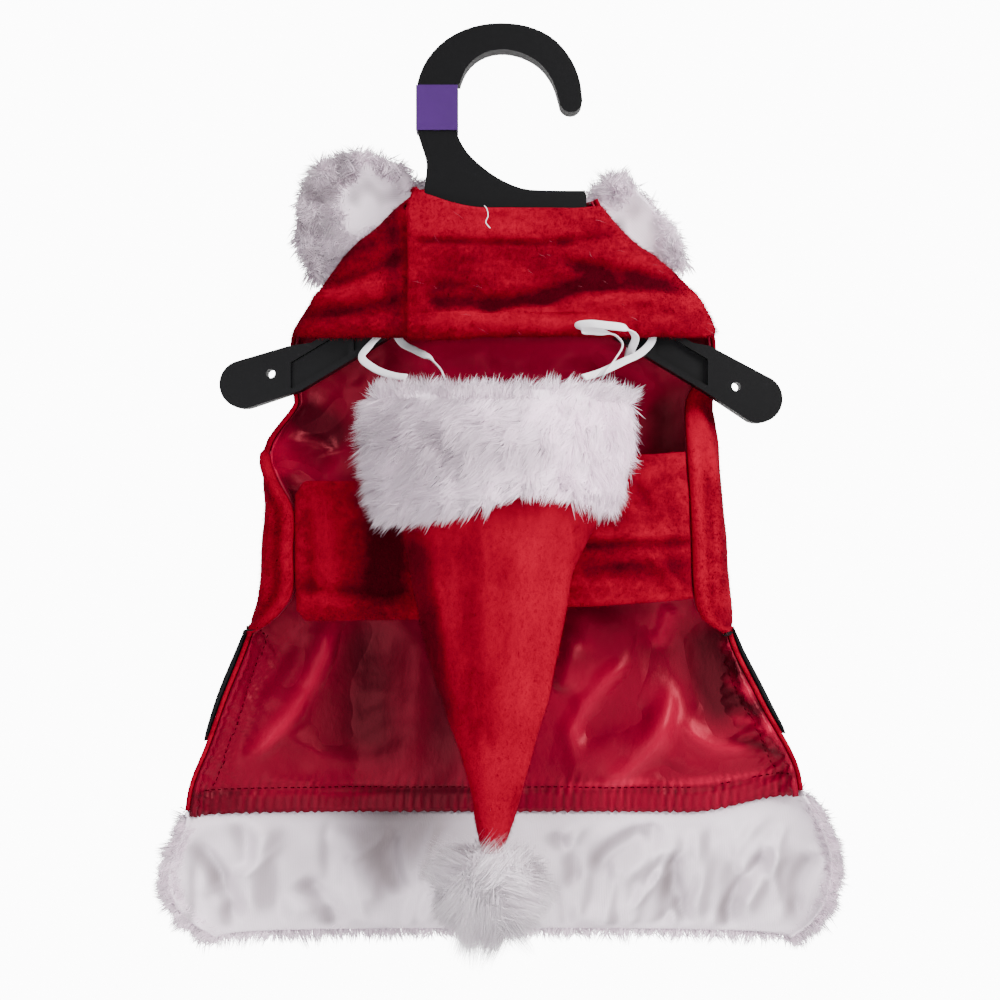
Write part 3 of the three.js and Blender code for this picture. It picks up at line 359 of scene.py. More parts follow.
def waves(x: Array, z: Array, seed: int, count: int, length: float, height: float) -> Array:
    """Soft uneven relief: a sum of plane waves in every direction.

    Args:
        x: the points' places across.
        z: their heights.
        seed: start of the random draws.
        count: number of waves.
        length: their usual length.
        height: the relief's usual height.

    Returns:
        The relief at each point.
    """
    rng = np.random.default_rng(seed)
    angle, phase = rng.uniform(0, math.pi, count), rng.uniform(0, 2 * math.pi, count)
    size = length * rng.uniform(0.6, 1.6, count)
    total = sum(
        np.sin(2 * math.pi * (x * math.cos(a) + z * math.sin(a)) / s + p)
        for a, p, s in zip(angle, phase, size, strict=True)
    )
    return height * total / math.sqrt(count)


@dataclass(frozen=True)
class Scatter:
    """Small creases strewn over a box, about one heading in radians."""

    seed: int
    count: int
    box: tuple[float, float, float, float]
    heading: float
    turn: float
    size: float
    height: float

    def creases(self) -> tuple[Crease, ...]:
        """Draws the creases: each has its own place, heading, length, height and bend.

        Returns:
            The creases.
        """
        rng = np.random.default_rng(self.seed)
        size, found = self.size, []
        for _ in range(self.count):
            x, z = rng.uniform(*self.box[:2]), rng.uniform(*self.box[2:])
            a, half = rng.normal(self.heading, self.turn), size * rng.uniform(0.5, 1.5) / 2
            dx, dz = half * math.cos(a), half * math.sin(a)
            rise = self.height * rng.uniform(0.4, 1.2) * rng.choice([-1, 1])
            width, bend = size * rng.uniform(0.07, 0.13), rng.normal(0, size * 0.06)
            found.append(Crease(x - dx, z - dz, x + dx, z + dz, width, rise, bend))
        return tuple(found)


# ---- the coat's surface -------------------------------------------------------------
def coat_xy(row: dict[str, Array], angle: Array) -> tuple[Array, Array]:
    """The inside surface at an angle: a rounded box whose front and back have their own reach.

    Args:
        row: a section's columns.
        angle: 0 at the right, a quarter turn at the back, half a turn at the left.

    Returns:
        x and y at each angle.
    """
    inset = row.get("inset", COVER)
    middle, half = (row["left"] + row["right"]) / 2, (row["right"] - row["left"]) / 2 - inset
    reach = np.where(np.sin(angle) >= 0, row["back"], row["front"])
    x = middle + half * signed_power(np.cos(angle), FULLNESS)
    return x, row["centre"] + reach * signed_power(np.sin(angle), FULLNESS)


def front_angle(row: dict[str, Array], x: Array | float) -> Array:
    """The angle at which the front of a section reaches a width: the inverse of coat_xy.

    Args:
        row: a section's columns.
        x: the width.

    Returns:
        The angle in radians.
    """
    middle, half = (row["left"] + row["right"]) / 2, (row["right"] - row["left"]) / 2 - COVER
    share = np.clip((x - middle) / half, -1, 1)
    return 2 * math.pi - np.arccos(signed_power(share, 1 / FULLNESS))


def corner_lift(x: Array, level: Array) -> Array:
    """How far the hem's right corner is lifted: a step across times one down, faded out below the seam.

    Args:
        x: the points' places across.
        level: their heights.

    Returns:
        The lift of each point in millimetres.
    """
    start, top, seam, low, reach, lift = 72, -246, -292, -336, 44, 8.0
    fade = np.where(level > seam, 1.0, smooth((level - low) / reach))
    return lift * smooth((x - start) / reach) * smooth((top - level) / reach) * fade


def body_grid(
    profile: Profile, z: Array, start: Array, end: Array, columns: int, lines: Sequence[Crease]
) -> Array:
    """Rows of the coat between two angles, at equal steps along the cloth.

    Args:
        profile: the sections.
        z: each row's height.
        start: each row's first angle.
        end: its last angle.
        columns: points in a row.
        lines: folds that push the cloth forwards.

    Returns:
        Rows and columns of points.
    """
    row = {name: v[:, None] for name, v in profile.at(z).items()}
    fine = start[:, None] + (end - start)[:, None] * np.linspace(0, 1, FINE_STEPS)
    x, y = coat_xy(row, fine)
    steps = np.cumsum(np.hypot(np.diff(x), np.diff(y)), axis=1)
    along = np.concatenate([np.zeros((len(z), 1)), steps], axis=1)
    wanted = along[:, -1:] * np.linspace(0, 1, columns)
    angle = np.stack([np.interp(w, a, f) for w, a, f in zip(wanted, along, fine, strict=True)])
    x, y = coat_xy(row, angle)
    level = np.broadcast_to(z[:, None], x.shape)
    grid = np.stack([x, y - relief(lines, x, level), level], axis=-1)
    grid[..., 2] += corner_lift(x, level)
    return grid


def panel_grid(top: float, bottom: float, rows: int, columns: int) -> Array:
    """The back panel's own grid, from its left front edge over the back to its right front edge.

    Args:
        top: the first row's height.
        bottom: the last row's height.
        rows: number of rows.
        columns: points in a row.

    Returns:
        Rows and columns of points.
    """
    z, same = np.linspace(top, bottom, rows), 0.6
    row = COAT.at(z)
    left = front_angle(row, row["edge_l"] + COVER)
    right = front_angle(row, row["edge_r"]) - 2 * math.pi
    left = np.where(row["edge_l"] <= row["left"] + same, math.pi - EDGE_MARGIN, left)
    right = np.where(row["edge_r"] >= row["right"] - same, EDGE_MARGIN, right)
    left, right = np.maximum(left, math.pi - EDGE_MARGIN), np.minimum(right, EDGE_MARGIN)
    return body_grid(COAT, z, left, right, columns, FOLDS)


class ClothGrid:
    """A grid of the coat's cloth, with its normals and the distances along it."""

    def __init__(self, grid: Array) -> None:
        """Measures the grid.

        Args:
            grid: rows and columns of points.
        """
        self.grid, self.normals = grid, grid_normals(grid)
        self.x, self.z = grid[..., 0], grid[..., 2]
        self.arc = np.cumsum(length_of(np.diff(grid, axis=1, prepend=grid[:, :1])), axis=1)
        self.fall = np.cumsum(length_of(np.diff(grid, axis=0, prepend=grid[:1])), axis=0)
        self.side = np.minimum(self.arc, self.arc[:, -1:] - self.arc)


# ---- meshes -------------------------------------------------------------------------
class Builder:
    """Makes Blender meshes from arrays of points in millimetres."""

    @staticmethod
    def mesh(name: str, points: Array, loops: Array, sizes: Array, uv: Array | None = None) -> Piece:
        """An object from arrays.

        Args:
            name: the object's name.
            points: its points.
            loops: the point of every face corner.
            sizes: the number of corners of each face.
            uv: UVs of the corners, or None for none.

        Returns:
            The object, in the scene.
        """
        data = bpy.data.meshes.new(name)
        data.vertices.add(len(points))
        data.vertices.foreach_set("co", (np.asarray(points, np.float32) * MM).ravel())
        data.loops.add(len(loops))
        data.loops.foreach_set("vertex_index", np.asarray(loops, np.int32))
        data.polygons.add(len(sizes))
        starts = np.concatenate([[0], np.cumsum(sizes)[:-1]])
        data.polygons.foreach_set("loop_start", starts.astype(np.int32))
        data.polygons.foreach_set("loop_total", np.asarray(sizes, np.int32))
        data.polygons.foreach_set("use_smooth", np.ones(len(sizes), bool))
        if uv is not None:
            layer = data.uv_layers.new(name="cloth")
            layer.data.foreach_set("uv", np.asarray(uv, np.float32).ravel())
        data.update(calc_edges=True)
        data.validate()
        made = bpy.data.objects.new(name, data)
        bpy.context.scene.collection.objects.link(made)
        return made

    @staticmethod
    def keep(piece: Piece, label: str, values: Array) -> None:
        """Keeps a number at each point of a mesh."""
        layer = piece.data.attributes.new(label, "FLOAT", "POINT")
        layer.data.foreach_set("value", values.astype(np.float32))

    @staticmethod
    def outward(points: Array, quads: Array) -> Array:
        """Turns all faces over if the volume that they enclose is negative.

        Args:
            points: the body's points.
            quads: the points of each face.

        Returns:
            The faces, all facing out.
        """
        p = points[quads]
        first = np.einsum("ij,ij->", p[:, 0], np.cross(p[:, 1], p[:, 2]))
        second = np.einsum("ij,ij->", p[:, 0], np.cross(p[:, 2], p[:, 3]))
        return quads[:, ::-1] if first + second < 0 else quads

    @classmethod
    def wall(cls, name: str, inner: Array, outer: Array, ring: bool = False) -> Piece:
        """A closed wall between two grids, with UVs in metres along the cloth.

        Args:
            name: the object's name.
            inner: points of one face.
            outer: points of the other, in the same rows and columns.
            ring: whether the last column meets the first.

        Returns:
            The object.
        """
        rows, columns = inner.shape[:2]
        count, last = rows * columns, (rows - 1) * columns
        points = np.concatenate([inner.reshape(-1, 3), outer.reshape(-1, 3)])
        edge = np.arange(columns if ring else columns - 1)
        i, j = np.meshgrid(np.arange(rows - 1), edge, indexing="ij")
        i, j, k = i.ravel(), j.ravel(), (j.ravel() + 1) % columns
        face = np.stack([i * columns + j, i * columns + k, (i + 1) * columns + k, (i + 1) * columns + j], 1)
        after = (edge + 1) % columns
        quads = [face, face[:, ::-1] + count]
        quads.append(np.stack([edge, edge + count, after + count, after], 1))
        quads.append(np.stack([last + edge, last + after, last + after + count, last + edge + count], 1))
        if not ring:
            side = np.arange(rows - 1) * columns
            quads.append(np.stack([side, side + columns, side + columns + count, side + count], 1))
            side = side + columns - 1
            quads.append(np.stack([side, side + count, side + columns + count, side + columns], 1))
        quads = cls.outward(points, np.concatenate(quads))
        across = np.cumsum(length_of(np.diff(outer, axis=1)), axis=1)
        u = np.concatenate([np.zeros((rows, 1)), across], axis=1) * MM
        down = np.cumsum(length_of(np.diff(outer, axis=0)), axis=0)
        v = np.concatenate([np.zeros((1, columns)), down], axis=0) * MM
        uv = np.tile(np.stack([u - u.mean(axis=1, keepdims=True), -v], -1).reshape(-1, 2), (2, 1))
        return cls.mesh(name, points, quads.ravel(), np.full(len(quads), 4), uv[quads.ravel()])


@dataclass(frozen=True)
class Pile:
    """How a pile of fur grows: its strands, their length, lean and tufts."""

    strands: int
    length: tuple[float, float]
    comb: Triple
    lean: float = 0.8
    rough: float = 0.35
    clump: float = 0.55
    cell: float = 4.0
    width: float = 0.16
    droop: float = 0.25
    seed: int = 3
    bent: bool = True


class Fur:
    """Grows strands on a grid of points as one joined mesh."""

    KITE = ((0, 2, 1, 1, 2, 3), (0.0, 0.5, 0.5, 1.0))
    BLADE = ((0, 1, 2), (0.0, 0.0, 1.0))
    TUFT_KEY = (73856.093, 19349.663, 83492.791)  # turns a tuft's place into a number that looks random

    def __init__(self, grid: Array, normals: Array, pile: Pile, weight: Array | None = None) -> None:
        """Draws each strand's root: a cell by its area and weight, and a place in it.

        Args:
            grid: rows and columns of points in millimetres.
            normals: the way the pile stands at each point.
            pile: how it grows.
            weight: share of strands for each cell, or None for an even pile.
        """
        self.pile = pile
        self.rng = np.random.default_rng(pile.seed)
        area = length_of(np.cross(grid[1:, :-1] - grid[:-1, :-1], grid[:-1, 1:] - grid[:-1, :-1]))
        if weight is not None:
            area = area * weight[:-1, :-1]
        cell = self.rng.choice(area.size, pile.strands, p=(area / area.sum()).ravel())
        self.cell = np.divmod(cell, area.shape[1])
        self.place = self.rng.random(pile.strands)[:, None], self.rng.random(pile.strands)[:, None]
        self.root, self.normal = self.blend(grid), unit(self.blend(normals))

    def blend(self, grid: Array) -> Array:
        """A grid's values at the roots, from the four corners of each one's cell.

        Args:
            grid: values at the grid's points.

        Returns:
            One value or vector for each root.
        """
        (i, j), (a, b) = self.cell, self.place
        near = grid[i, j] * (1 - a) * (1 - b) + grid[i + 1, j] * a * (1 - b)
        return near + grid[i, j + 1] * (1 - a) * b + grid[i + 1, j + 1] * a * b

    def grow(self, name: str, shade: Array | None = None) -> Piece:
        """Makes the strands: each leans with the comb and bends towards its tuft's own tip.

        Args:
            name: the object's name.
            shade: the painted shade at each point of the grid, with the nap's own tone on plush, or None for
                none.

        Returns:
            The object.
        """
        pile, rng, root, normal = self.pile, self.rng, self.root, self.normal
        size, comb = (pile.strands, 3), unit(np.array(pile.comb, float))
        length = rng.uniform(*pile.length, pile.strands)[:, None]
        way = unit(normal + pile.lean * comb + rng.normal(0, pile.rough, size))
        # a tuft is a cube of the roots' space with waved sides, and swings its own way
        tuft = np.floor(root / pile.cell + 0.35 * np.sin(root[:, [1, 2, 0]] * 0.9))
        key = (tuft @ np.array(self.TUFT_KEY)) % 1.0
        swing = np.stack([np.sin(37 * key + 1), np.cos(53 * key + 2), np.sin(71 * key + 3)], -1)
        # the strand's lower half keeps its way, and its upper half droops and gathers into the tuft
        mid = root + way * length * 0.5
        tip_way = unit(way + pile.droop * comb + 0.5 * swing * pile.clump)
        tip = mid + tip_way * length * 0.5
        goal = (tuft + 0.5) * pile.cell + (normal + pile.lean * comb + 0.6 * swing) * length * 0.75
        tip = tip + (goal - tip) * (pile.clump * 0.55 * rng.random((pile.strands, 1)))
        # each strand lies roughly flat to the cloth, with its front outwards
        facing = unit(normal + 0.45 * rng.normal(0, 1, size))
        side = unit(np.cross(way, facing)) * pile.width * rng.uniform(0.6, 1.2, (pile.strands, 1))
        corners = [root, mid - side, mid + side, tip] if pile.bent else [root - side, root + side, tip]
        face, along = self.KITE if pile.bent else self.BLADE
        each = len(corners)
        loops = (np.arange(pile.strands)[:, None] * each + np.array(face)).ravel()
        made = Builder.mesh(name, np.stack(corners, 1).reshape(-1, 3), loops, np.full(len(loops) // 3, 3))
        Builder.keep(made, "tone", np.repeat(rng.random(pile.strands), each))
        Builder.keep(made, "along", np.tile(along, pile.strands))
        # each strand takes the painted shade, with the nap's own tone on plush, from under its root
        if shade is not None:
            Builder.keep(made, "nap_and_shade", np.repeat(self.blend(shade[..., None])[:, 0], each))
        # the light falls on a strand as on the cloth under it, a little unevenly
        lit = unit(normal + 0.3 * swing + 0.21 * rng.normal(0, 1, size))
        made.data.normals_split_custom_set_from_vertices(np.repeat(lit, each, axis=0))
        return made


# ---- finishes -----------------------------------------------------------------------
class Slot(Enum):
    """Names of the material slots."""

    PLUSH = "plush"
    VELOUR = "velour"
    SATIN = "satin"
    FUR = "fur"
    POMPOM = "pompom"
    BELT = "belt"
    ELASTIC = "elastic"


class Held(Enum):
    """How a sheet is held."""

    HUNG = "hung"
    STRETCHED = "stretched"
    LAID = "laid"


class Sketch:
    """A node tree, with short ways to add and join its nodes."""

    def __init__(self, tree: bpy.types.NodeTree) -> None:
        """Adds the object's coordinates to the tree."""
        self.tree = tree
        self.where = self.node("ShaderNodeTexCoord").outputs

    def fill(self, node: bpy.types.Node, sockets: dict[str, Value]) -> bpy.types.Node:
        """Sets a node's inputs from values, or links them from other nodes' sockets.

        Args:
            node: the node.
            sockets: by each input's name with _ for a space, or by _ and its number.

        Returns:
            The same node.
        """
        for name, value in sockets.items():
            socket = node.inputs[int(name[1:])] if name[0] == "_" else node.inputs[name.replace("_", " ")]
            if isinstance(value, bpy.types.NodeSocket):
                self.tree.links.new(value, socket)
            else:
                socket.default_value = value
        return node

    def node(self, kind: str, **sockets: Value) -> bpy.types.Node:
        """A new node with its inputs filled."""
        return self.fill(self.tree.nodes.new(kind), sockets)

    def effect(self, tree: bpy.types.NodeTree, **sockets: Value) -> bpy.types.NodeOutputs:
        """Places a shared effect with its own values.

        Args:
            tree: the effect's node group.
            **sockets: its inputs.

        Returns:
            Its outputs.
        """
        made = self.tree.nodes.new("ShaderNodeGroup")
        made.node_tree = tree
        return self.fill(made, sockets).outputs

    def noise(self, scale: Value, detail: float, rough: float, at: Socket | None = None) -> Socket:
        """Noise by the object's own metres.

        Args:
            scale: its waves to a metre.
            detail: its finer layers.
            rough: how much each finer layer adds.
            at: other coordinates to read it at.

        Returns:
            A value from 0 to 1.
        """
        at = at or self.where["Object"]
        made = self.node("ShaderNodeTexNoise", Vector=at, Scale=scale, Detail=detail, Roughness=rough)
        return made.outputs["Fac"]

    def attribute(self, name: str) -> Socket:
        """A number kept at the mesh's points.

        Args:
            name: the attribute's name.

        Returns:
            Its value.
        """
        made = self.node("ShaderNodeAttribute")
        made.attribute_name = name
        return made.outputs["Fac"]

    def stretched(self, scale: Value) -> Socket:
        """The object's coordinates, stretched."""
        return self.node("ShaderNodeMapping", Vector=self.where["Object"], Scale=scale).outputs[0]

    def ramp(self, fac: Socket, *stops: tuple[float, Triple]) -> Socket:
        """A colour ramp.

        Args:
            fac: the value that it reads.
            *stops: each place on the ramp and its colour.

        Returns:
            The colour.
        """
        made = self.node("ShaderNodeValToRGB", Fac=fac)
        elements = made.color_ramp.elements
        while len(elements) < len(stops):
            elements.new(0.5)
        for element, (place, colour) in zip(elements, stops, strict=True):
            element.position, element.color = place, (*colour, 1)
        return made.outputs["Color"]

    def maths(self, kind: str, a: Value, b: Value) -> Socket:
        """An operation on two values.

        Args:
            kind: the operation.
            a: the first value.
            b: the second value.

        Returns:
            The result.
        """
        made = self.node("ShaderNodeMath", _0=a, _1=b)
        made.operation = kind
        return made.outputs[0]

    def plus(self, a: Value, b: Value) -> Socket:
        """The sum of two values."""
        return self.maths("ADD", a, b)

    def times(self, a: Value, b: Value) -> Socket:
        """The product of two values."""
        return self.maths("MULTIPLY", a, b)

    def mix(self, fac: Socket, a: Socket, b: Triple) -> Socket:
        """A colour mixed into another.

        Args:
            fac: share of the second.
            a: the first colour.
            b: the second colour.

        Returns:
            The mixed colour.
        """
        made = self.tree.nodes.new("ShaderNodeMix")
        made.data_type = "RGBA"
        return self.fill(made, {"_0": fac, "_6": a, "_7": (*b, 1)}).outputs[2]

    def bump(self, height: Socket, strength: float, distance: Value) -> Socket:
        """A bumped normal."""
        return self.node("ShaderNodeBump", Height=height, Strength=strength, Distance=distance).outputs[0]


def group(name: str, inputs: dict[str, str], outputs: dict[str, str]) -> tuple[Sketch, bpy.types.NodeOutputs]:
    """An empty node group.

    Args:
        name: its name.
        inputs: the kind of each input, by its name.
        outputs: the kind of each output, by its name.

    Returns:
        Its sketch, and the sockets that bring its inputs in.
    """
    tree = bpy.data.node_groups.new(name, "ShaderNodeTree")
    for side, sockets in (("INPUT", inputs), ("OUTPUT", outputs)):
        for label, kind in sockets.items():
            tree.interface.new_socket(label, in_out=side, socket_type="NodeSocket" + kind)
    return Sketch(tree), tree.nodes.new("NodeGroupInput").outputs


@cache
def brushed_nap() -> bpy.types.NodeTree:
    """Effect: soft blotches, tufts and the kept nap tone and painted shade as one tone, and the pile as a
    bumped normal.

    Returns:
        The node group, built once.
    """
    inputs = {"Stretch": "Vector", "Blotch": "Float", "Grain": "Float", "Shade": "Float"}
    s, given = group("brushed_nap", inputs, {"Tone": "Float", "Normal": "Vector"})
    brushed = s.noise(75, 4, 0.6, s.stretched(given["Stretch"]))
    pile, tuft = s.noise(1500, 2, 0.7), s.noise(430, 3, 0.6)
    tone = s.plus(s.times(brushed, given["Blotch"]), s.times(tuft, given["Grain"]))
    tone = s.plus(tone, s.times(given["Shade"], 0.16))
    s.node("NodeGroupOutput", Tone=tone, Normal=s.bump(s.plus(tuft, s.times(pile, 0.5)), 0.5, 0.0006))
    return s.tree


@cache
def fine_grain() -> bpy.types.NodeTree:
    """Effect: broad clouds for the colour, and a fine grain for the roughness and the bumped normal.

    Returns:
        The node group, built once.
    """
    inputs = {"Scale": "Float", "Roughness": "Float", "Depth": "Float"}
    s, given = group("fine_grain", inputs, {"Cloud": "Float", "Roughness": "Float", "Normal": "Vector"})
    fine = s.noise(given["Scale"], 3, 0.6)
    rough = s.plus(s.times(fine, 0.12), s.plus(given["Roughness"], -0.06))
    normal = s.bump(fine, 0.35, given["Depth"])
    s.node("NodeGroupOutput", Cloud=s.noise(60, 3, 0.5), Roughness=rough, Normal=normal)
    return s.tree


class Finish:
    """A look that becomes a material."""

    def material(self, name: str) -> Material:
        """Makes the material from this finish's shader.

        Args:
            name: the material's name.

        Returns:
            The material.
        """
        made = bpy.data.materials.new(name)
        made.use_nodes = True
        made.node_tree.nodes.clear()
        s = Sketch(made.node_tree)
        s.node("ShaderNodeOutputMaterial", Surface=self.shader(s).outputs[0])
        return made

    def shader(self, s: Sketch) -> bpy.types.Node:
        """Adds the finish's nodes to a material's tree and gives its last one."""
        raise NotImplementedError


@dataclass(frozen=True)
class Nap(Finish):
    """Plush or velour: its deep and lit colours and how uneven its nap is."""

    deep: Triple
    lit: Triple
    grain: float
    blotch: float = 0.42
    streak: Triple = (1.0, 1.0, 1.7)
    tint: Triple = (1.0, 0.03, 0.08)

    def shader(self, s: Sketch) -> bpy.types.Node:
        """The brushed nap's tone and the painted light and shade through shaded, lit and bright reds, with
        little sheen.

        Args:
            s: the material's sketch.

        Returns:
            The shader's node.
        """
        shade = s.attribute("nap_and_shade")
        nap_and_shade = s.effect(brushed_nap(), Stretch=self.streak, Blotch=self.blotch, Grain=self.grain, Shade=shade)
        # painted light and shade: the ramp runs from a shaded red through a lit one to a brighter one
        middle = tuple(0.4 * a + 0.6 * b for a, b in zip(self.deep, self.lit, strict=True))
        bright = tuple(1.35 * v for v in self.lit)
        heart = (self.blotch + self.grain) / 2  # the tone where neither blotch nor tuft shows
        low, high, top = max(0, heart - 0.26), heart + 0.1, heart + 0.34
        stops = (low, self.deep), (heart, middle), (high, self.lit), (top, bright)
        return s.node(
            "ShaderNodeBsdfPrincipled", Base_Color=s.ramp(nap_and_shade["Tone"], *stops), Roughness=0.92,
            Specular_IOR_Level=0.03, Sheen_Weight=0.01, Sheen_Roughness=0.45, Sheen_Tint=(*self.tint, 1),
            Normal=nap_and_shade["Normal"],
        )


@dataclass(frozen=True)
class Satin(Finish):
    """Thin shiny lining cloth, with the tints of its shine and sheen."""

    deep: Triple
    lit: Triple
    shine: Triple = (1.0, 0.14, 0.19)
    sheen: Triple = (1.0, 0.1, 0.15)

    def shader(self, s: Sketch) -> bpy.types.Node:
        """Painted highlights and shade through deep, lit and bright reds, a close weave under a soft shine,
        with faint crinkles.

        Args:
            s: the material's sketch.

        Returns:
            The shader's node.
        """
        cloud = s.plus(s.times(s.noise(28, 3, 0.5), 0.5), 0.2)
        # painted light and shade: the kept shade lightens the red on ridges and darkens it in hollows, up to
        # a painted highlight
        shade = s.plus(cloud, s.times(s.attribute("nap_and_shade"), 0.26))
        crinkle = s.noise(130, 3, 0.5, s.stretched((1.0, 1.0, 0.6)))
        weave = s.noise(2600, 1, 0.5, s.stretched((1.0, 1.0, 0.25)))
        bright = tuple(2.3 * v for v in self.lit)
        colour = s.ramp(shade, (0.10, self.deep), (0.5, self.lit), (0.9, bright))
        return s.node(
            "ShaderNodeBsdfPrincipled", Base_Color=colour, Roughness=0.40, Specular_IOR_Level=0.40,
            Specular_Tint=(*self.shine, 1), Sheen_Weight=0.02, Sheen_Tint=(*self.sheen, 1),
            Normal=s.bump(s.plus(crinkle, s.times(weave, 0.05)), 0.3, 0.0020),
        )


@dataclass(frozen=True)
class Hair(Finish):
    """Strands: their colours at the root, at the tip and in the shade."""

    root: Triple
    tip: Triple
    grey: Triple

    def shader(self, s: Sketch) -> bpy.types.Node:
        """Darker at the root, with some light through each strand and on to those under it.

        Args:
            s: the material's sketch.

        Returns:
            The shader's node.
        """
        colour = s.ramp(s.attribute("along"), (0.0, self.root), (0.7, self.tip))
        colour = s.mix(s.times(s.attribute("tone"), 0.25), colour, self.root)
        # painted shade: greyer where the kept shade says, as on the brim's left and the collar's left wing
        colour = s.mix(s.attribute("nap_and_shade"), colour, self.grey)
        look = {"Roughness": 0.6, "Specular_IOR_Level": 0.2, "Sheen_Weight": 0.2}
        body = s.node("ShaderNodeBsdfPrincipled", Base_Color=colour, **look).outputs[0]
        through_it = s.node("ShaderNodeBsdfTranslucent", Color=colour).outputs[0]
        strand = s.node("ShaderNodeMixShader", Fac=0.35, _1=body, _2=through_it).outputs[0]
        thin = s.times(s.node("ShaderNodeLightPath").outputs["Is Shadow Ray"], 0.8)
        clear = s.node("ShaderNodeBsdfTransparent").outputs[0]
        return s.node("ShaderNodeMixShader", Fac=thin, _1=strand, _2=clear)


@dataclass(frozen=True)
class Plain(Finish):
    """A plain cloth or plastic with a fine grain."""

    colour: Triple
    rough: float
    grain: float
    depth: float
    specular: float = 0.5
    sheen: float = 0.0

    def shader(self, s: Sketch) -> bpy.types.Node:
        """Its colour, a little darker in broad clouds, over the fine grain.

        Args:
            s: the material's sketch.

        Returns:
            The shader's node.
        """
        grain = s.effect(fine_grain(), Scale=self.grain, Roughness=self.rough, Depth=self.depth)
        dark = tuple(0.88 * v for v in self.colour)
        return s.node(
            "ShaderNodeBsdfPrincipled", Base_Color=s.ramp(grain["Cloud"], (0.3, dark), (0.7, self.colour)),
            Specular_IOR_Level=self.specular, Sheen_Weight=self.sheen, Roughness=grain["Roughness"],
            Normal=grain["Normal"],
        )


@dataclass(frozen=True)
class Knit(Finish):
    """The smooth white knit that carries the pile, seen from its back, with painted shade in its valleys."""

    light: Triple
    grey: Triple
    dark: Triple

    def shader(self, s: Sketch) -> bpy.types.Node:
        """The painted shade through its greys, under faint rows of knitting.

        Args:
            s: the material's sketch.

        Returns:
            The shader's node.
        """
        wave = s.node("ShaderNodeTexWave", Vector=s.where["UV"], Scale=330, Distortion=1.2, Detail=1)
        soft = s.noise(90, 3, 0.5)
        shade = s.plus(s.attribute("nap_and_shade"), s.times(soft, 0.1))
        height = s.plus(s.times(wave.outputs["Fac"], 0.25), soft)
        return s.node(
            "ShaderNodeBsdfPrincipled",
            Base_Color=s.ramp(shade, (0.0, self.light), (0.5, self.grey), (1.0, self.dark)),
            Roughness=0.85, Sheen_Weight=0.1, Specular_IOR_Level=0.2, Normal=s.bump(height, 0.3, 0.0008),
        )


@dataclass(frozen=True)
class Paper(Finish):
    """The backdrop's paper, which the camera sees as plain white."""

    pale: float = 0.9
    glow: float = 12.0

    def shader(self, s: Sketch) -> bpy.types.Node:
        """Dull paper for every ray but the camera's.

        Args:
            s: the material's sketch.

        Returns:
            The shader's node.
        """
        paper = s.node("ShaderNodeBsdfDiffuse", Color=(self.pale, self.pale, self.pale, 1)).outputs[0]
        white = s.node("ShaderNodeEmission", Color=(1, 1, 1, 1), Strength=self.glow).outputs[0]
        seen = s.node("ShaderNodeLightPath").outputs["Is Camera Ray"]
        return s.node("ShaderNodeMixShader", Fac=seen, _1=paper, _2=white)


class Wardrobe:
    """Every finish, made once."""

    def __init__(self) -> None:
        """Makes the materials."""
        finishes = {
            "red_plush": Nap((0.040, 0.0, 0.0028), (0.208, 0.0, 0.0105), 0.26),
            "red_velour": Nap((0.060, 0.0, 0.0036), (0.208, 0.0, 0.0105), 0.11, 0.34, (2.2, 2.2, 0.55)),
            "red_satin": Satin((0.028, 0.0, 0.0030), (0.138, 0.0, 0.0110)),
            "white_fur": Hair((0.84, 0.72, 0.805), (1.0, 0.87, 0.965), (0.46, 0.37, 0.425)),
            "pompom_fur": Hair((0.97, 0.87, 0.94), (1.0, 0.92, 0.98), (0.44, 0.38, 0.42)),
            "white_knit": Knit((0.90, 0.785, 0.87), (0.44, 0.38, 0.425), (0.17, 0.14, 0.15)),
            "black_band": Plain((0.004, 0.004, 0.005), 0.7, 900, 0.0004, 0.1, 0.02),
            "black_plastic": Plain((0.0016, 0.0016, 0.002), 0.45, 500, 0.00008, 0.12),
            "purple_plastic": Plain((0.035, 0.004, 0.085), 0.4, 500, 0.00006, 0.3),
            "white_elastic": Plain((0.78, 0.76, 0.79), 0.75, 1400, 0.0003, 0.2, 0.2),
            "white_lint": Plain((0.85, 0.80, 0.84), 0.8, 900, 0.0001, 0.1),
            "pale_fibre": Plain((0.45, 0.12, 0.16), 0.8, 900, 0.0001, 0.1),
            "red_thread": Plain((0.045, 0.0, 0.003), 0.95, 900, 0.0002, 0.0),
        }
        made = {name: finish.material(name) for name, finish in finishes.items()}
        self.plush, self.velour, self.satin = made["red_plush"], made["red_velour"], made["red_satin"]
        self.fur, self.pompom, self.knit = made["white_fur"], made["pompom_fur"], made["white_knit"]
        self.belt, self.elastic, self.thread = made["black_band"], made["white_elastic"], made["red_thread"]
        self.plastic, self.clip = made["black_plastic"], made["purple_plastic"]
        self.lint, self.fibre = made["white_lint"], made["pale_fibre"]


# ---- dressing -----------------------------------------------------------------------
def place(piece: Piece, material: Material, slot: Slot, *nodes: str) -> Piece:
    """Gives a piece its material, rides it on the body and hides the nodes it stands for.

    Args:
        piece: the object.
        material: its finish.
        slot: not used.
        *nodes: the solids that it replaces, if any.

    Returns:
        The same object.
    """
    piece.data.materials.append(material)
    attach(piece, "root")
    if nodes:
        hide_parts(*nodes)
    log.info("%s: %d faces", piece.name, len(piece.data.polygons))
    return piece


def paint_nap_and_shade(piece: Piece, shade: Array) -> None:
    """Keeps the painted shade, with the nap's own tone where there is one, at the points of a wall, on both
    its sides.
    """
    Builder.keep(piece, "nap_and_shade", np.tile(shade.ravel(), 2))


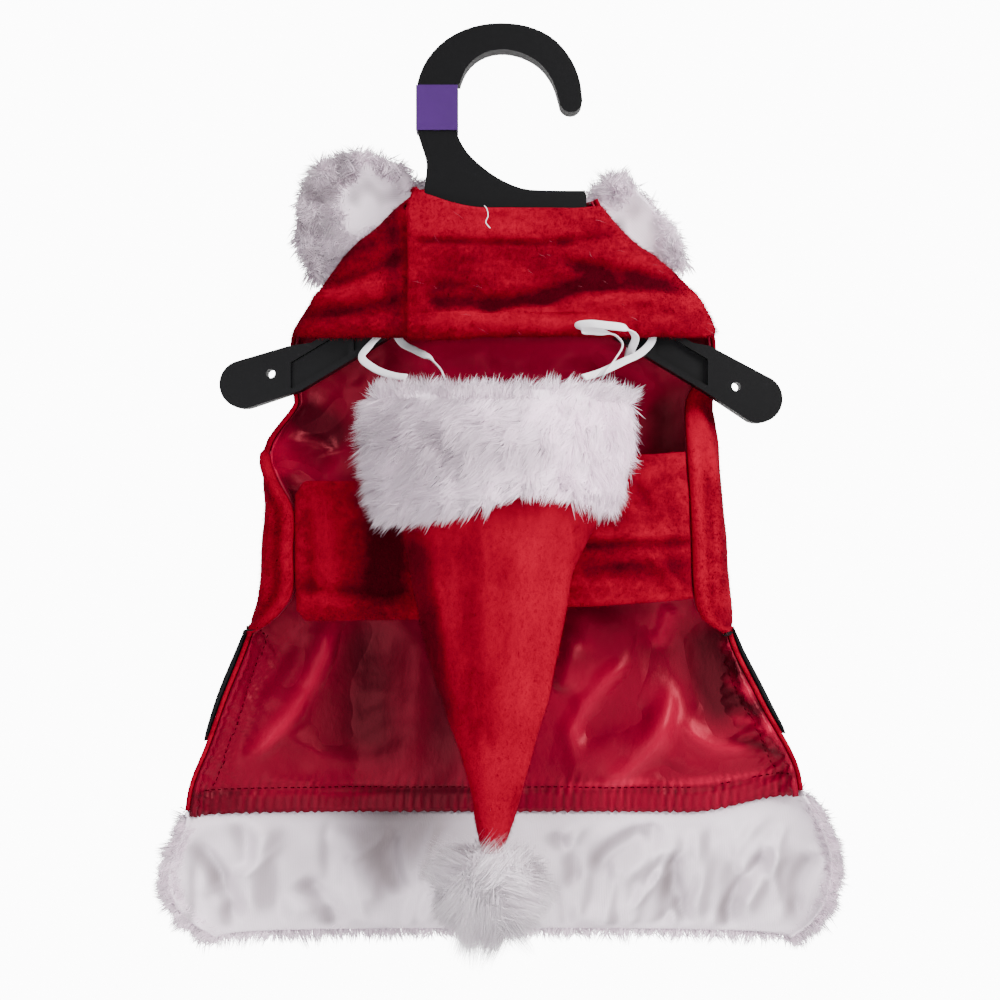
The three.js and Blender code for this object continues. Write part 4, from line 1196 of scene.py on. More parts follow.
def through(points: Array, steps: int) -> Array:
    """A smooth line through points: a spline whose knots are apart by the root of each distance.

    Args:
        points: the points.
        steps: the line's points in each stretch.

    Returns:
        The line's points.
    """
    ends = np.concatenate([2 * points[:1] - points[1:2], points, 2 * points[-1:] - points[-2:-1]])
    found = []
    for a, b, c, d in zip(ends[:-3], ends[1:-2], ends[2:-1], ends[3:], strict=True):
        gaps = [np.linalg.norm(q - p) ** 0.5 for p, q in ((a, b), (b, c), (c, d))]
        t0, t1, t2, t3 = 0.0, gaps[0], gaps[0] + gaps[1], sum(gaps)
        t = np.linspace(t1, t2, steps, endpoint=False)[:, None]
        p = (t1 - t) / (t1 - t0) * a + (t - t0) / (t1 - t0) * b
        q = (t2 - t) / (t2 - t1) * b + (t - t1) / (t2 - t1) * c
        r = (t3 - t) / (t3 - t2) * c + (t - t2) / (t3 - t2) * d
        u = (t2 - t) / (t2 - t0) * p + (t - t0) / (t2 - t0) * q
        v = (t3 - t) / (t3 - t1) * q + (t - t1) / (t3 - t1) * r
        found.append((t2 - t) / (t2 - t1) * u + (t - t1) / (t2 - t1) * v)
    return np.concatenate([*found, points[-1:]])


def tape(name: str, path: Array, facing: Array, half_width: float, half_thick: float) -> Piece:
    """A flat tape along a line, with rounded edges.

    Args:
        name: the object's name.
        path: the line's points.
        facing: the way of the tape's width at each point.
        half_width: half its width.
        half_thick: half its thickness.

    Returns:
        The object.
    """
    tangent = unit(np.gradient(path, axis=0))
    wide = unit(facing - tangent * (tangent * facing).sum(-1, keepdims=True))
    thin = np.cross(tangent, wide)
    angle = np.linspace(0, 2 * math.pi, 12, endpoint=False)
    across, up = signed_power(np.cos(angle), 0.5) * half_width, signed_power(np.sin(angle), 0.6) * half_thick
    ring = path[:, None] + wide[:, None] * across[None, :, None] + thin[:, None] * up[None, :, None]
    core = path[:, None] + (ring - path[:, None]) * 0.25
    return Builder.wall(name, core, ring, ring=True)


@dataclass(frozen=True)
class Stitch:
    """A small stitch: a low roof over a flat diamond."""

    half: Triple = (0.85, 0.22, 0.16)  # half its length, half its width and its height
    step: float = 2.6  # from one stitch to the next
    lift: float = 0.1

    ENDS = ((1, 0, 0), (0.6, 1, 0.3), (0.6, -1, 0.3), (-0.6, 1, 0.3), (-0.6, -1, 0.3), (-1, 0, 0), (0, 0, 1))
    FACES = (
        (0, 1, 6), (6, 2, 0), (1, 3, 6), (6, 4, 2), (3, 5, 6),
        (6, 5, 4), (0, 2, 1), (1, 2, 4), (4, 3, 1), (3, 4, 5),
    )

    def sew(self, name: str, lines: list[tuple[Array, Array]]) -> Piece:
        """Stitches along lines of points, as one joined mesh.

        Args:
            name: the object's name.
            lines: for each row of stitches, its points and the cloth's normals there.

        Returns:
            The object.
        """
        ends, faces, points = np.array(self.ENDS, float), np.array(self.FACES), []
        for line, normals in lines:
            along = run(line)
            places = np.arange(self.step / 2, along[-1], self.step)
            heart, ahead = self.read(places, along, line), self.read(places + 0.3, along, line)
            up = -unit(self.read(places, along, normals))
            way = unit(ahead - heart + 1e-6)
            axes = np.stack([way * self.half[0], np.cross(up, way) * self.half[1], up * self.half[2]], 1)
            points.append((heart + up * self.lift)[:, None] + np.einsum("pk,nkc->npc", ends, axes))
        points = np.concatenate(points)
        loops = (np.arange(len(points))[:, None, None] * len(ends) + faces).ravel()
        return Builder.mesh(name, points.reshape(-1, 3), loops, np.full(len(points) * len(faces), 3))

    @staticmethod
    def read(places: Array, along: Array, values: Array) -> Array:
        """The line's values at places along it."""
        return np.stack([np.interp(places, along, values[:, axis]) for axis in range(3)], -1)


# ---- the coat -----------------------------------------------------------------------
@dataclass
class Lining:
    """The satin lining, with its creases, gathered bottom channel and stitched side hems."""

    wear: Wardrobe
    top: float = -56.5
    bottom: float = -291.0
    rows: int = 160
    columns: int = 180
    thickness: float = 0.8
    seam_up: float = 8.2  # the channel's seam over the bottom edge
    hem_in: float = 8.5  # the side hems' seam from the edge
    pleat_step: float = 3.4
    tuck_step: float = 4.6
    body: tuple[Scatter, ...] = (
        Scatter(5, 24, (-104, 104, -284, -216), 1.2, 0.5, 32, 0.45),
        Scatter(6, 18, (-84, 66, -165, -110), 0.6, 0.6, 26, 0.5),
    )

    def build(self) -> None:
        """Makes the lining and its stitches."""
        cloth = ClothGrid(panel_grid(self.top, self.bottom, self.rows, self.columns))
        x, z, normals = cloth.x, cloth.z, cloth.normals
        # the creases lie on the back, and not on the part that turns round to the sides
        inside = smooth((18 - np.abs(cloth.grid[..., 1] - 10)) / 6)
        up = (1 - np.linspace(0, 1, self.rows)[:, None]) * (self.top - self.bottom)
        pleat = self.pleats(cloth.arc)
        channel, seam = smooth((8.4 - up) / 1.4), bell(up, self.seam_up, 0.9)
        fine = [line for strewn in self.body for line in strewn.creases()]
        raised = relief([*SATIN_CREASES, *fine], x, z) * inside + waves(x, z, 2, 14, 34, 0.5)
        raised = raised + 0.16 * waves(x, z, 3, 18, 9, 1.0) * (0.6 + 0.4 * np.sin(x * 0.07 + z * 0.05))
        raised = raised * (1 - 0.8 * channel) + channel * (0.9 + 0.42 * pleat) - seam * 0.5
        # the pleats run up a little over the channel, and fade there
        reach = 13 + 4 * np.sin(cloth.arc * 0.17 + 1) + 2 * np.sin(cloth.arc * 0.43)
        raised = raised + 0.5 * smooth((reach - up) / 6) * (1 - channel) * pleat
        raised = raised + self.side_gather(cloth)
        hang = smooth((1.6 - up) / 1.6) * (0.5 + 0.5 * pleat)
        inner, outer = cloth.grid - normals * raised[..., None], cloth.grid + normals * self.thickness
        inner[..., 2] -= hang
        outer[..., 2] -= hang
        piece = Builder.wall("lining", inner, outer)
        # painted light and shade: the pleats by the channel lighter and darker in turn, and darker along the
        # seam and on the channel towards the left
        ruffled = pleat * (0.7 * channel + 0.8 * bell(up, 10, 2.6)) * (0.6 + 0.4 * smooth((x + 20) / 60))
        shade = relief(SATIN_SHADE, x, z) * inside - 0.9 * seam - 0.7 * channel * smooth((40 - x) / 60)
        paint_nap_and_shade(piece, shade + ruffled)
        place(piece, self.wear.satin, Slot.SATIN, "back_lining")
        sewn = self.stitches(inner, cloth, up)
        place(sewn, self.wear.thread, Slot.SATIN)

    def pleats(self, arc: Array) -> Array:
        """The channel's gathers: a wave along the edge whose step and height vary slowly."""
        phase = 2 * math.pi * arc / self.pleat_step + 1.4 * np.sin(arc * 0.11)
        return np.sin(phase) * (0.7 + 0.3 * np.sin(arc * 0.31))

    def side_gather(self, cloth: ClothGrid) -> Array:
        """The lower side hems: a raised edge, tucks that fade inwards and a sunk seam.

        Args:
            cloth: the lining's grid.

        Returns:
            The relief at each point.
        """
        side, fall = cloth.side, cloth.fall
        low = smooth((np.linspace(0, 1, self.rows)[:, None] - 0.70) / 0.03)
        phase = 2 * math.pi * fall / self.tuck_step + 1.1 * np.sin(fall * 0.2)
        tuck = np.sin(phase) * (0.75 + 0.25 * np.sin(fall * 0.37))
        gather = low * (smooth((9 - side) / 3) * 0.6 + smooth((24 - side) / 14) * 0.75 * tuck)
        return gather - low * 0.6 * bell(side, self.hem_in, 0.9)

    def stitches(self, face: Array, cloth: ClothGrid, up: Array) -> Piece:
        """Rows of stitches along the channel's seam and down both side hems.

        Args:
            face: points of the lining's visible face.
            cloth: its grid.
            up: each row's height over the bottom edge.

        Returns:
            The stitches.
        """
        normals, side = cloth.normals, cloth.side
        channel = int(np.argmin(np.abs(up[:, 0] - self.seam_up)))
        lines = [(face[channel], normals[channel])]
        rows = np.flatnonzero((cloth.z[:, 0] < -217) & (up[:, 0] > 9))
        half = self.columns // 2
        for columns in (np.arange(half), np.arange(half, self.columns)):
            near = columns[np.argmin(np.abs(side[rows][:, columns] - self.hem_in), axis=1)]
            lines.append((face[rows, near], normals[rows, near]))
        return Stitch().sew("lining_stitches", lines)


@dataclass
class Panel:
    """The red plush back panel, whose rolled edges wrap round to the front."""

    wear: Wardrobe
    top: float = -56.5
    bottom: float = -289.6
    rows: int = 90
    columns: int = 130
    fuzz: Pile = Pile(26000, (0.9, 1.9), (0, 0, -1), 0.6, 0.5, 0.3, 2.0, 0.07, bent=False)

    def build(self) -> None:
        """Makes the panel and its fuzz, most of it where the panel shows in front."""
        cloth = ClothGrid(panel_grid(self.top, self.bottom, self.rows, self.columns))
        x, z, side = cloth.x, cloth.z, cloth.side
        # the front edges roll over between the leg opening and the belt
        wrap = smooth((-142 - z) / 12) * smooth((z + 222) / 8)
        folds = relief(PANEL_CREASES, x, z)
        roll = wrap * (1.2 * bell(side, 2.6, 1.9) - 0.7 * bell(side, 6.4, 1.5))
        soft = 0.22 * waves(x, z, 4, 12, 26, 1.0) + folds + roll
        rim = smooth(side / 1.5)
        outer = cloth.grid + cloth.normals * (COVER - 0.5 * (1 - rim) + soft * rim)[..., None]
        piece = Builder.wall("panel", cloth.grid + cloth.normals * (LINING + SEAM), outer)
        # painted light and shade: lighter on the folds' ridges and the rolled edges, darker in the troughs
        # behind them, over an uneven tone
        shade = folds * 0.4 + roll * 0.8 + waves(x, z, 9, 10, 36, 0.3) + 0.4
        paint_nap_and_shade(piece, shade)
        place(piece, self.wear.plush, Slot.PLUSH, "back_panel")
        front = smooth((2.0 - cloth.grid[..., 1]) / 6) + 0.12
        fuzz = Fur(outer, cloth.normals, self.fuzz, front).grow("panel_fuzz", shade)
        place(fuzz, self.wear.plush, Slot.PLUSH)


@dataclass
class Strap:
    """One half of a strap across the front, lying flat on the coat's section."""

    wear: Wardrobe
    name: str
    left: Edge | None  # x at each height, or None for the section's own side
    right: Edge | None
    top: Edge  # height at each share of the width
    bottom: Edge
    rise: Edge  # how far in front of the section it lies, at each x
    creases: tuple[Crease, ...]
    nap_and_shade: tuple[Crease, ...]
    fuzz: int  # number of strands
    seed: int
    rows: int = 52
    columns: int = 66
    down: Pile = Pile(0, (0.9, 2.1), (0.3, 0, -1), 0.6, 0.5, 0.4, 2.2, 0.065, bent=False)

    def build(self) -> None:
        """Makes the cloth and its fuzz."""
        s, v = np.meshgrid(np.linspace(0, 1, self.columns), np.linspace(0, 1, self.rows))
        z = self.top(s) + (self.bottom(s) - self.top(s)) * v
        row = COAT.at(z)
        start = math.pi + EDGE_MARGIN + 0 * z if self.left is None else front_angle(row, self.left(z))
        end = 2 * math.pi - EDGE_MARGIN + 0 * z if self.right is None else front_angle(row, self.right(z))
        x, y = coat_xy(row, start + (end - start) * s)
        grid = np.stack([x, y, z], -1)
        normals, rise = -grid_normals(grid), self.rise(x) + 0.0 * z
        folds = relief(self.creases, x, z)
        # distance from the nearest edge, in millimetres or nearly
        rim = np.minimum(np.minimum(v, 1 - v) * 50, np.minimum(s, 1 - s) * 60)
        soft = waves(x, z, 8, 14, 17, 0.22) - 0.5 * (1 - smooth(rim / 1.6))
        outer = grid + normals * (rise + 2.1 + soft + np.maximum(folds, -1.6) * smooth(rim / 3))[..., None]
        piece = Builder.wall(self.name + "_cloth", grid + normals * rise[..., None], outer)
        # painted shade: much darker in the creases' troughs, a little lighter on their ridges
        crease_shade = np.where(folds < 0, 0.85, 0.3) * folds
        shade = relief(self.nap_and_shade, x, z) + crease_shade + waves(x, z, 9, 10, 26, 0.22) + 0.25
        paint_nap_and_shade(piece, shade)
        place(piece, self.wear.plush, Slot.PLUSH, self.name)
        down = replace(self.down, strands=self.fuzz, seed=self.seed)
        pile = Fur(outer, normals, down).grow(self.name + "_fuzz", shade)
        self.trim(outer, normals)
        place(pile, self.wear.plush, Slot.PLUSH)

    def trim(self, outer: Array, normals: Array) -> None:
        """Nothing more on a plain strap."""


@dataclass
class LintedStrap(Strap):
    """A strap with a few pale fibres caught in its nap, and a thread's end at its top."""

    lint: Pile = Pile(34, (2.5, 7.0), (0.6, 0, -0.4), 1.8, 0.6, 0.0, 4.0, 0.03, droop=0.9, seed=91)
    thread: tuple[Triple, ...] = (
        (-6.6, -14.6, -61.0), (-5.6, -16.4, -62.6), (-5.2, -16.6, -65.2), (-6.0, -16.2, -67.4),
        (-4.4, -16.4, -69.6),
    )

    def trim(self, outer: Array, normals: Array) -> None:
        """Adds the fibres and the thread.

        Args:
            outer: points of the strap's visible face.
            normals: its normals.
        """
        place(Fur(outer, normals, self.lint).grow("strap_lint"), self.wear.fibre, Slot.PLUSH)
        path = through(np.array(self.thread), 6)
        loose = tape("loose_thread", path, np.tile([1.0, 0, 0], (len(path), 1)), 0.16, 0.16)
        place(loose, self.wear.lint, Slot.PLUSH)


def straps(wear: Wardrobe) -> list[Strap]:
    """The halves of the chest strap and of the belly strap, the right ones over the left.

    Args:
        wear: the finishes.

    Returns:
        The four halves, not yet built.
    """

    def level(height: float, slope: float = 0.0) -> Edge:
        """A line that starts at a height and climbs by `slope` over its length."""
        return lambda s: height + slope * s

    def chest_top(s: Array) -> Array:
        """The chest strap's top: high by the neck, then lower with a slight rise to the right."""
        x = -33 + 71 * s
        return -54.5 - 6.3 * smooth((x + 32) / 26) + 0.8 * smooth((x - 14) / 20)

    def chest_left(z: Array) -> Array:
        """The left edge of the chest strap's right half, which leans in below the neck."""
        return -35 + 3.5 * smooth((z + 64) / 9)

    def corner(s: Array) -> Array:
        """How far the belly strap's left corners are rounded."""
        return np.exp(-((s / 0.05) ** 2))

    chest = STRAP_CREASES + Scatter(12, 16, (-30, 70, -104, -62), 0.1, 0.25, 22, 0.5).creases()
    belly_right = BELLY_CREASES + Scatter(13, 10, (16, 68, -204, -160), 0.1, 0.4, 18, 0.5).creases()
    belly_left = BELLY_CREASES + Scatter(14, 8, (-76, -30, -210, -168), 0.9, 0.5, 18, 0.5).creases()
    return [
        LintedStrap(
            wear, "neck_strap_right", chest_left, None, chest_top, level(-107.5),
            lambda x: 1.0 + 1.9 * smooth((-4 - x) / 14), chest, STRAP_NAP_AND_SHADE, 28000, 16, 72, 130,
        ),
        Strap(
            wear, "neck_strap_left", None, level(-22.0), lambda s: -59.5 - 3.0 * smooth(s * 1.6),
            level(-107.8), level(0.4), STRAP_CREASES, STRAP_NAP_AND_SHADE, 13000, 15,
        ),
        Strap(
            wear, "belly_strap_right", level(-14.0), lambda z: COAT.at(z)["edge_r"] - 0.8, level(-156.5, 3.5),
            level(-210, 3.5), lambda x: 1.0 + 2.0 * smooth((22 - x) / 14), belly_right, BELLY_NAP_AND_SHADE, 12000, 17,
        ),
        Strap(
            wear, "belly_strap_left", level(-80.2 + COVER), level(4.0), lambda s: -163.5 - 4.5 * corner(s),
            lambda s: -215 + 1.5 * s + 4.0 * corner(s), level(0.5), belly_left, BELLY_NAP_AND_SHADE, 12000, 16,
        ),
    ]


@dataclass
class Belt:
    """The black band across the back."""

    wear: Wardrobe
    top: float = -219
    bottom: float = -264
    rows: int = 18
    columns: int = 110
    thickness: float = 0.3
    swell: float = 1.2

    def build(self) -> None:
        """Makes the band, thickest along its middle."""
        grid = panel_grid(self.top, self.bottom, self.rows, self.columns)
        normals, under = grid_normals(grid), COVER + SEAM
        swell = self.swell * np.sin(np.pi * np.linspace(0, 1, self.rows)[:, None, None]) ** 0.5
        outer = grid + normals * (under + self.thickness + swell)
        piece = Builder.wall("belt_band", grid + normals * under, outer)
        place(piece, self.wear.belt, Slot.BELT, "belt")


@dataclass
class Hem:
    """The hem's trim: puckered knit towards the viewer, long pile behind and round its edges."""

    wear: Wardrobe
    top: float = -289.8
    bottom: float = -337.2
    rows: int = 76
    columns: int = 230
    puff: float = 2.6
    strewn: Scatter = Scatter(21, 46, (-118, 118, -334, -298), 1.25, 0.4, 24, 0.8)
    long: Pile = Pile(35000, (6.0, 10.0), (0, 0, -1), 1.0, 0.3, 0.8, 6.0, 0.34, seed=31)
    short: Pile = Pile(19000, (2.6, 7.2), (0, -0.4, -0.35), 0.45, 0.4, 0.95, 6.0, 0.2, seed=33)
    lock: Pile = Pile(7000, (2.6, 6.5), (0, -0.3, -0.3), 0.4, 0.4, 1.1, 6.0, 0.18, seed=35)

    def build(self) -> None:
        """Makes the knit and its three piles."""
        z = np.linspace(self.top, self.bottom, self.rows)
        flat = np.full(self.rows, math.pi)
        grid = body_grid(HEM_KNIT, z, flat, flat * 0, self.columns, ())
        normals, x, level = grid_normals(grid), grid[..., 0], grid[..., 2]
        s, v = np.linspace(0, 1, self.columns)[None, :], np.linspace(0, 1, self.rows)[:, None]
        edge = smooth((v - 0.06) / 0.16) * smooth((1 - v) / 0.08)
        ends = np.minimum(s, 1 - s) * 250
        folds = 1.75 * relief([*HEM_CREASES, *self.strewn.creases()], x, level)
        folds = folds + waves(x, level, 23, 14, 22, 0.5)
        tucked = 1.9 * (1 - smooth((v - 0.03) / 0.09))
        raised = np.maximum(edge * folds + self.puff * np.sin(np.pi * v) ** 0.6, -0.6)
        face = grid - normals * (raised * smooth(ends / 9 + 0.05) ** 0.5 - tucked)[..., None]
        piece = Builder.wall("hem_knit", face, grid + normals * (tucked + 1.0)[..., None])
        paint_nap_and_shade(piece, self.shade(x, level, edge, folds))
        place(piece, self.wear.knit, Slot.FUR, "hem_trim")
        # the long pile's top rows stand up a little over the trim's edge
        root = grid + normals * (tucked + 0.8)[..., None]
        lifted = unit(normals + smooth((0.09 - v) / 0.09)[..., None] * np.array([0, 0, 1.5]))
        rim = np.zeros(grid.shape[:2])
        rim[4:, :6] = rim[4:, -7:] = 1
        rim[-6:] = 0.5
        away = unit(np.stack([(2 * s - 1) ** 9 * 1.2 + 0 * v, 0.5 + 0 * s * v, -0.9 * v**9 + 0 * s], -1))
        lap = smooth((7.5 - ends) / 5) * smooth((v - 0.05) / 0.1) + 0.3 * smooth((v - 0.965) / 0.03)
        over = unit(away + np.array([0, -0.5, 0]))
        piles = (
            Fur(root[:-3, 3:-3], lifted[:-3, 3:-3], self.long).grow("hem_fur"),
            Fur(root, away, self.short, rim).grow("hem_edge_fur"),
            Fur(face, over, self.lock, lap + 1e-5).grow("hem_end_fur"),
        )
        for pile in piles:
            place(pile, self.wear.fur, Slot.FUR)

    @staticmethod
    def shade(x: Array, level: Array, edge: Array, folds: Array) -> Array:
        """The knit's painted shade: in its valleys, on slopes that turn from the light, and the hat's shadow
        under the cone.

        Args:
            x: the points' places across.
            level: their heights.
            edge: 0 at the trim's edges and 1 inside.
            folds: the folds' relief.

        Returns:
            A share from 0 to 1 for each point.
        """
        slope = -np.gradient(edge * folds, axis=1) / np.maximum(np.gradient(x, axis=1), 0.05)
        valley = np.tanh(0.24 * np.clip(-folds, 0, None)) * edge
        turned_away = np.clip(np.tanh(0.6 * slope), -0.25, 1)
        # painted shadow cast by the hat, from the top of the trim down
        hung = 1.5 * bell(x, -39, 22) * smooth((level + 328) / 36)
        shade = 0.16 + 0.62 * valley + 1.25 * turned_away + hung + waves(x, level, 24, 8, 40, 0.06)
        return np.tanh(np.clip(shade, 0, None))


@dataclass
class Collar:
    """The fur collar: two wings that stand up and a part that falls behind the neck."""

    wear: Wardrobe
    stations: int = 130
    across: int = 26
    stand_off: float = COVER + SEAM + 3.4
    # x, z, half width and half height of the smooth patch left open in each wing
    patches: tuple[tuple[float, ...], ...] = ((-49.5, -55.0, 14.5, 12.0), (48.5, -66.0, 10.5, 12.5))
    behind: Pile = Pile(24000, (4.5, 8.0), (0, 0.1, -0.35), 0.5, 0.4, 0.7, 5.0, 0.26, seed=41)
    ahead: Pile = Pile(28000, (3.2, 7.4), (0, -0.15, -0.1), 0.25, 0.36, 1.15, 7.0, 0.17, seed=43)

    def surface(self, k: Array, s: Array) -> Array:
        """The collar's points: from where it is sewn on out to its edge, bowed and ruffled.

        Args:
            k: place along the collar, in rows of its table.
            s: share of the way from the seam to the edge.

        Returns:
            The grid.
        """
        entry = COLLAR.at(k)
        row = COAT.at(entry["root_z"])
        angle = entry["turn"] * 2 * math.pi
        x, y = coat_xy(row, angle)
        ahead = coat_xy(row, angle + 0.02)
        out = unit(np.stack([-(y - ahead[1]), x - ahead[0], 0 * x], -1))
        sign = np.sign(out[..., 0] * x + out[..., 1] * (y - row["centre"]))[..., None]
        root = np.stack([x, y, entry["root_z"]], -1) + out * sign * self.stand_off
        edge = np.stack([entry["x"], entry["y"], entry["z"]], -1)
        grid = root + (edge - root) * s[..., None]
        grid[..., 1] += entry["bow"] * np.sin(np.pi * s) * (1 - 0.25 * s)
        grid[..., 1] += smooth((s - 0.45) / 0.5) * (np.sin(k * 5.1 + 0.7) * 1.1 + np.sin(k * 9.3) * 0.7)
        return grid

    def build(self) -> None:
        """Makes the knit and the piles behind and in front of it."""
        last = len(COLLAR.data) - 1
        k, s = np.meshgrid(np.linspace(0, last, self.stations), np.linspace(0, 1, self.across), indexing="ij")
        grid = self.surface(k, s)
        normals, x, z = grid_normals(grid), grid[..., 0], grid[..., 2]
        normals = normals * np.sign(normals[..., 1:2] + 1e-6)
        piece = Builder.wall("collar_knit", grid - normals * 0.6, grid + normals * 0.8)
        # painted shade: soft grey waves on the open knit
        paint_nap_and_shade(piece, np.clip(0.03 + waves(x, z, 47, 9, 13, 0.3), 0, 0.8))
        place(piece, self.wear.knit, Slot.FUR, "collar_trim")
        # the pile leans out from each open patch
        gap, over = np.full(s.shape, 9.0), -normals * 0.8
        for x0, z0, wide, tall in self.patches:
            dx, dz = (x - x0) / wide, (z - z0) / tall
            distance = np.hypot(dx, dz)
            gap = np.minimum(gap, distance + waves(x, z, 46, 7, 13, 0.22))
            lean = np.stack([dx, 0 * dx, dz], -1) / np.maximum(distance, 0.3)[..., None]
            over = over + lean * bell(distance, 0, 3.0)[..., None]
        # painted shade: the left wing is greyer, most of all at its edge, and faintly on its pile behind
        left = smooth((s - 0.45) / 0.4) * 0.3 + smooth((-40 - x) / 25) * 0.3
        grey = np.clip(left + waves(x, z, 45, 9, 11, 0.16), 0, 1) * (k < 7)
        rim = smooth((gap - 0.7) / 0.9) * (0.45 + 0.55 * smooth((s - 0.5) / 0.3)) + 1e-4
        back = Fur(grid + normals * 0.8, normals, self.behind).grow("collar_fur", 0.35 * grey)
        front = Fur(grid - normals * 0.5, unit(over), self.ahead, rim).grow("collar_rim_fur", grey)
        for pile in (back, front):
            place(pile, self.wear.fur, Slot.FUR)


# ---- the hat ------------------------------------------------------------------------
@dataclass
class HatPiece:
    """A piece of the hat, built on rings of a flattened tube."""

    wear: Wardrobe
    middle_y: float = -33.5
    roundness: float = 0.85

    def ring(self, profile: Profile, z: Array, columns: int, lines: Sequence[Crease] = ()) -> Array:
        """Closed rings, counter-clockwise from the right over the back.

        Args:
            profile: the sections.
            z: each ring's height.
            columns: points in a ring.
            lines: folds that push the front forwards.

        Returns:
            Rows and columns of points.
        """
        row = {name: v[:, None] for name, v in profile.at(z).items()}
        angle = np.linspace(0, 2 * math.pi, columns, endpoint=False)[None, :]
        half = (row["right"] - row["left"]) / 2
        x = (row["left"] + row["right"]) / 2 + half * signed_power(np.cos(angle), self.roundness)
        y = self.middle_y + row["depth"] * signed_power(np.sin(angle), self.roundness)
        level = np.broadcast_to(z[:, None], x.shape)
        front = np.clip(-np.sin(angle) * 2, 0, 1)
        return np.stack([x, y - front * relief(lines, x, level), level], -1)


@dataclass
class Cone(HatPiece):
    """The velour cone with its long soft folds."""

    top: float = -161
    bottom: float = -296.6
    rows: int = 100
    columns: int = 120
    strewn: Scatter = Scatter(51, 14, (-30, 26, -270, -186), 1.5, 0.18, 34, 0.55)
    fuzz: Pile = Pile(20000, (0.8, 1.7), (0, 0, -1), 0.9, 0.45, 0.3, 2.0, 0.06, seed=53, bent=False)
    under_brim: int = 13  # rows that the brim hides

    def build(self) -> None:
        """Makes the cone and its fuzz."""
        grid = self.ring(CONE, np.linspace(self.top, self.bottom, self.rows), self.columns, CONE_FOLDS)
        normals, centre = -grid_normals(grid, ring=True), grid.mean(axis=1, keepdims=True)
        normals = normals * np.sign((normals * (grid - centre)).sum(-1, keepdims=True))
        x, level = grid[..., 0], grid[..., 2]
        soft = relief(self.strewn.creases(), x, level) + waves(x, level, 52, 12, 22, 0.25)
        soft = soft * smooth((-178 - level) / 12)
        outer = grid + normals * soft[..., None]
        piece = Builder.wall("cone", grid + (centre - grid) * 0.07, outer, ring=True)
        # the nap's tone with painted light and shade: lighter on the folds and the right, darker in the
        # troughs and down the left
        shade = relief(CONE_NAP_AND_SHADE, x, level) + 0.4 * soft + waves(x, level, 57, 10, 24, 0.2) + 0.2
        paint_nap_and_shade(piece, shade)
        place(piece, self.wear.velour, Slot.VELOUR, "hat_cone")
        seen = slice(self.under_brim, None)
        fuzz = Fur(outer[seen], normals[seen], self.fuzz).grow("cone_fuzz", shade[seen])
        place(fuzz, self.wear.velour, Slot.VELOUR)


@dataclass
class Brim(HatPiece):
    """The brim: a ring of backing with long combed pile all round, whose lower edge arches."""

    top: float = -131
    bottom: float = -173
    rows: int = 40
    columns: int = 130
    combed: Pile = Pile(54000, (5.5, 9.0), (-0.6, 0, -0.7), 1.2, 0.26, 0.8, 6.5, 0.18, seed=61)
    loose: Pile = Pile(8000, (3.0, 7.5), (0.3, 0, 0.15), 0.3, 0.35, 0.8, 5.0, 0.16, seed=63)
    hanging: Pile = Pile(9000, (3.0, 5.5), (-0.4, 0, -0.8), 0.5, 0.3, 0.8, 5.0, 0.15, seed=64)

    def build(self) -> None:
        """Makes the backing and its three piles."""
        z, v = np.linspace(self.top, self.bottom, self.rows), np.linspace(0, 1, self.rows)[:, None]
        mouth, rim = self.ring(MOUTH, z, self.columns), self.ring(BRIM, z, self.columns)
        x = mouth[..., 0]
        arch = 8.0 * bell(x, 12, 17) + 2.0 * bell(x, 44, 8) - 3.0 * bell(x, -30, 14)
        for grid in (mouth, rim):
            grid[..., 2] += arch * smooth((v - 0.3) / 0.7)
        skin = mouth + (rim - mouth) * 0.36
        piece = Builder.wall("brim_skin", mouth + (rim - mouth) * 0.05, skin, ring=True)
        place(piece, self.wear.knit, Slot.FUR, "hat_brim")
        lift = 1 - 2 * v
        flare = np.stack([0 * lift, 0 * lift, 0.35 * signed_power(lift, 5)], -1)
        wrap, away = closed(skin), closed(unit(unit(rim - mouth) + flare))
        x, level = wrap[..., 0], wrap[..., 2]
        # painted shade: greyer in the middle of its left half, and whiter to the right where the light falls
        grey = 0.2 + 0.4 * bell(x, -18, 22) * bell(level, -150, 14) + waves(x, level, 66, 9, 24, 0.12)
        grey = np.clip(0.8 * grey - 0.25 * smooth((x - 8) / 20), 0, 1)
        top, bottom = np.zeros(wrap.shape[:2]), np.zeros(wrap.shape[:2])
        top[:5] = 1 + 0.9 * waves(x[:5], level[:5], 67, 8, 13, 1.0)
        bottom[-5:] = 1 + 0.6 * waves(x[-5:], level[-5:], 68, 8, 13, 1.0)
        upward, downward = unit(away * 0.7 + np.array([0, 0, 0.75])), unit(away + np.array([-0.2, 0, -0.7]))
        piles = (
            Fur(wrap[2:], away[2:], self.combed).grow("brim_fur", grey[2:]),
            Fur(wrap, upward, self.loose, np.maximum(top, 0)).grow("brim_top_fur", grey),
            Fur(wrap, downward, self.hanging, np.maximum(bottom, 0)).grow("brim_bottom_fur", grey * 0.6),
        )
        for pile in piles:
            place(pile, self.wear.fur, Slot.FUR)


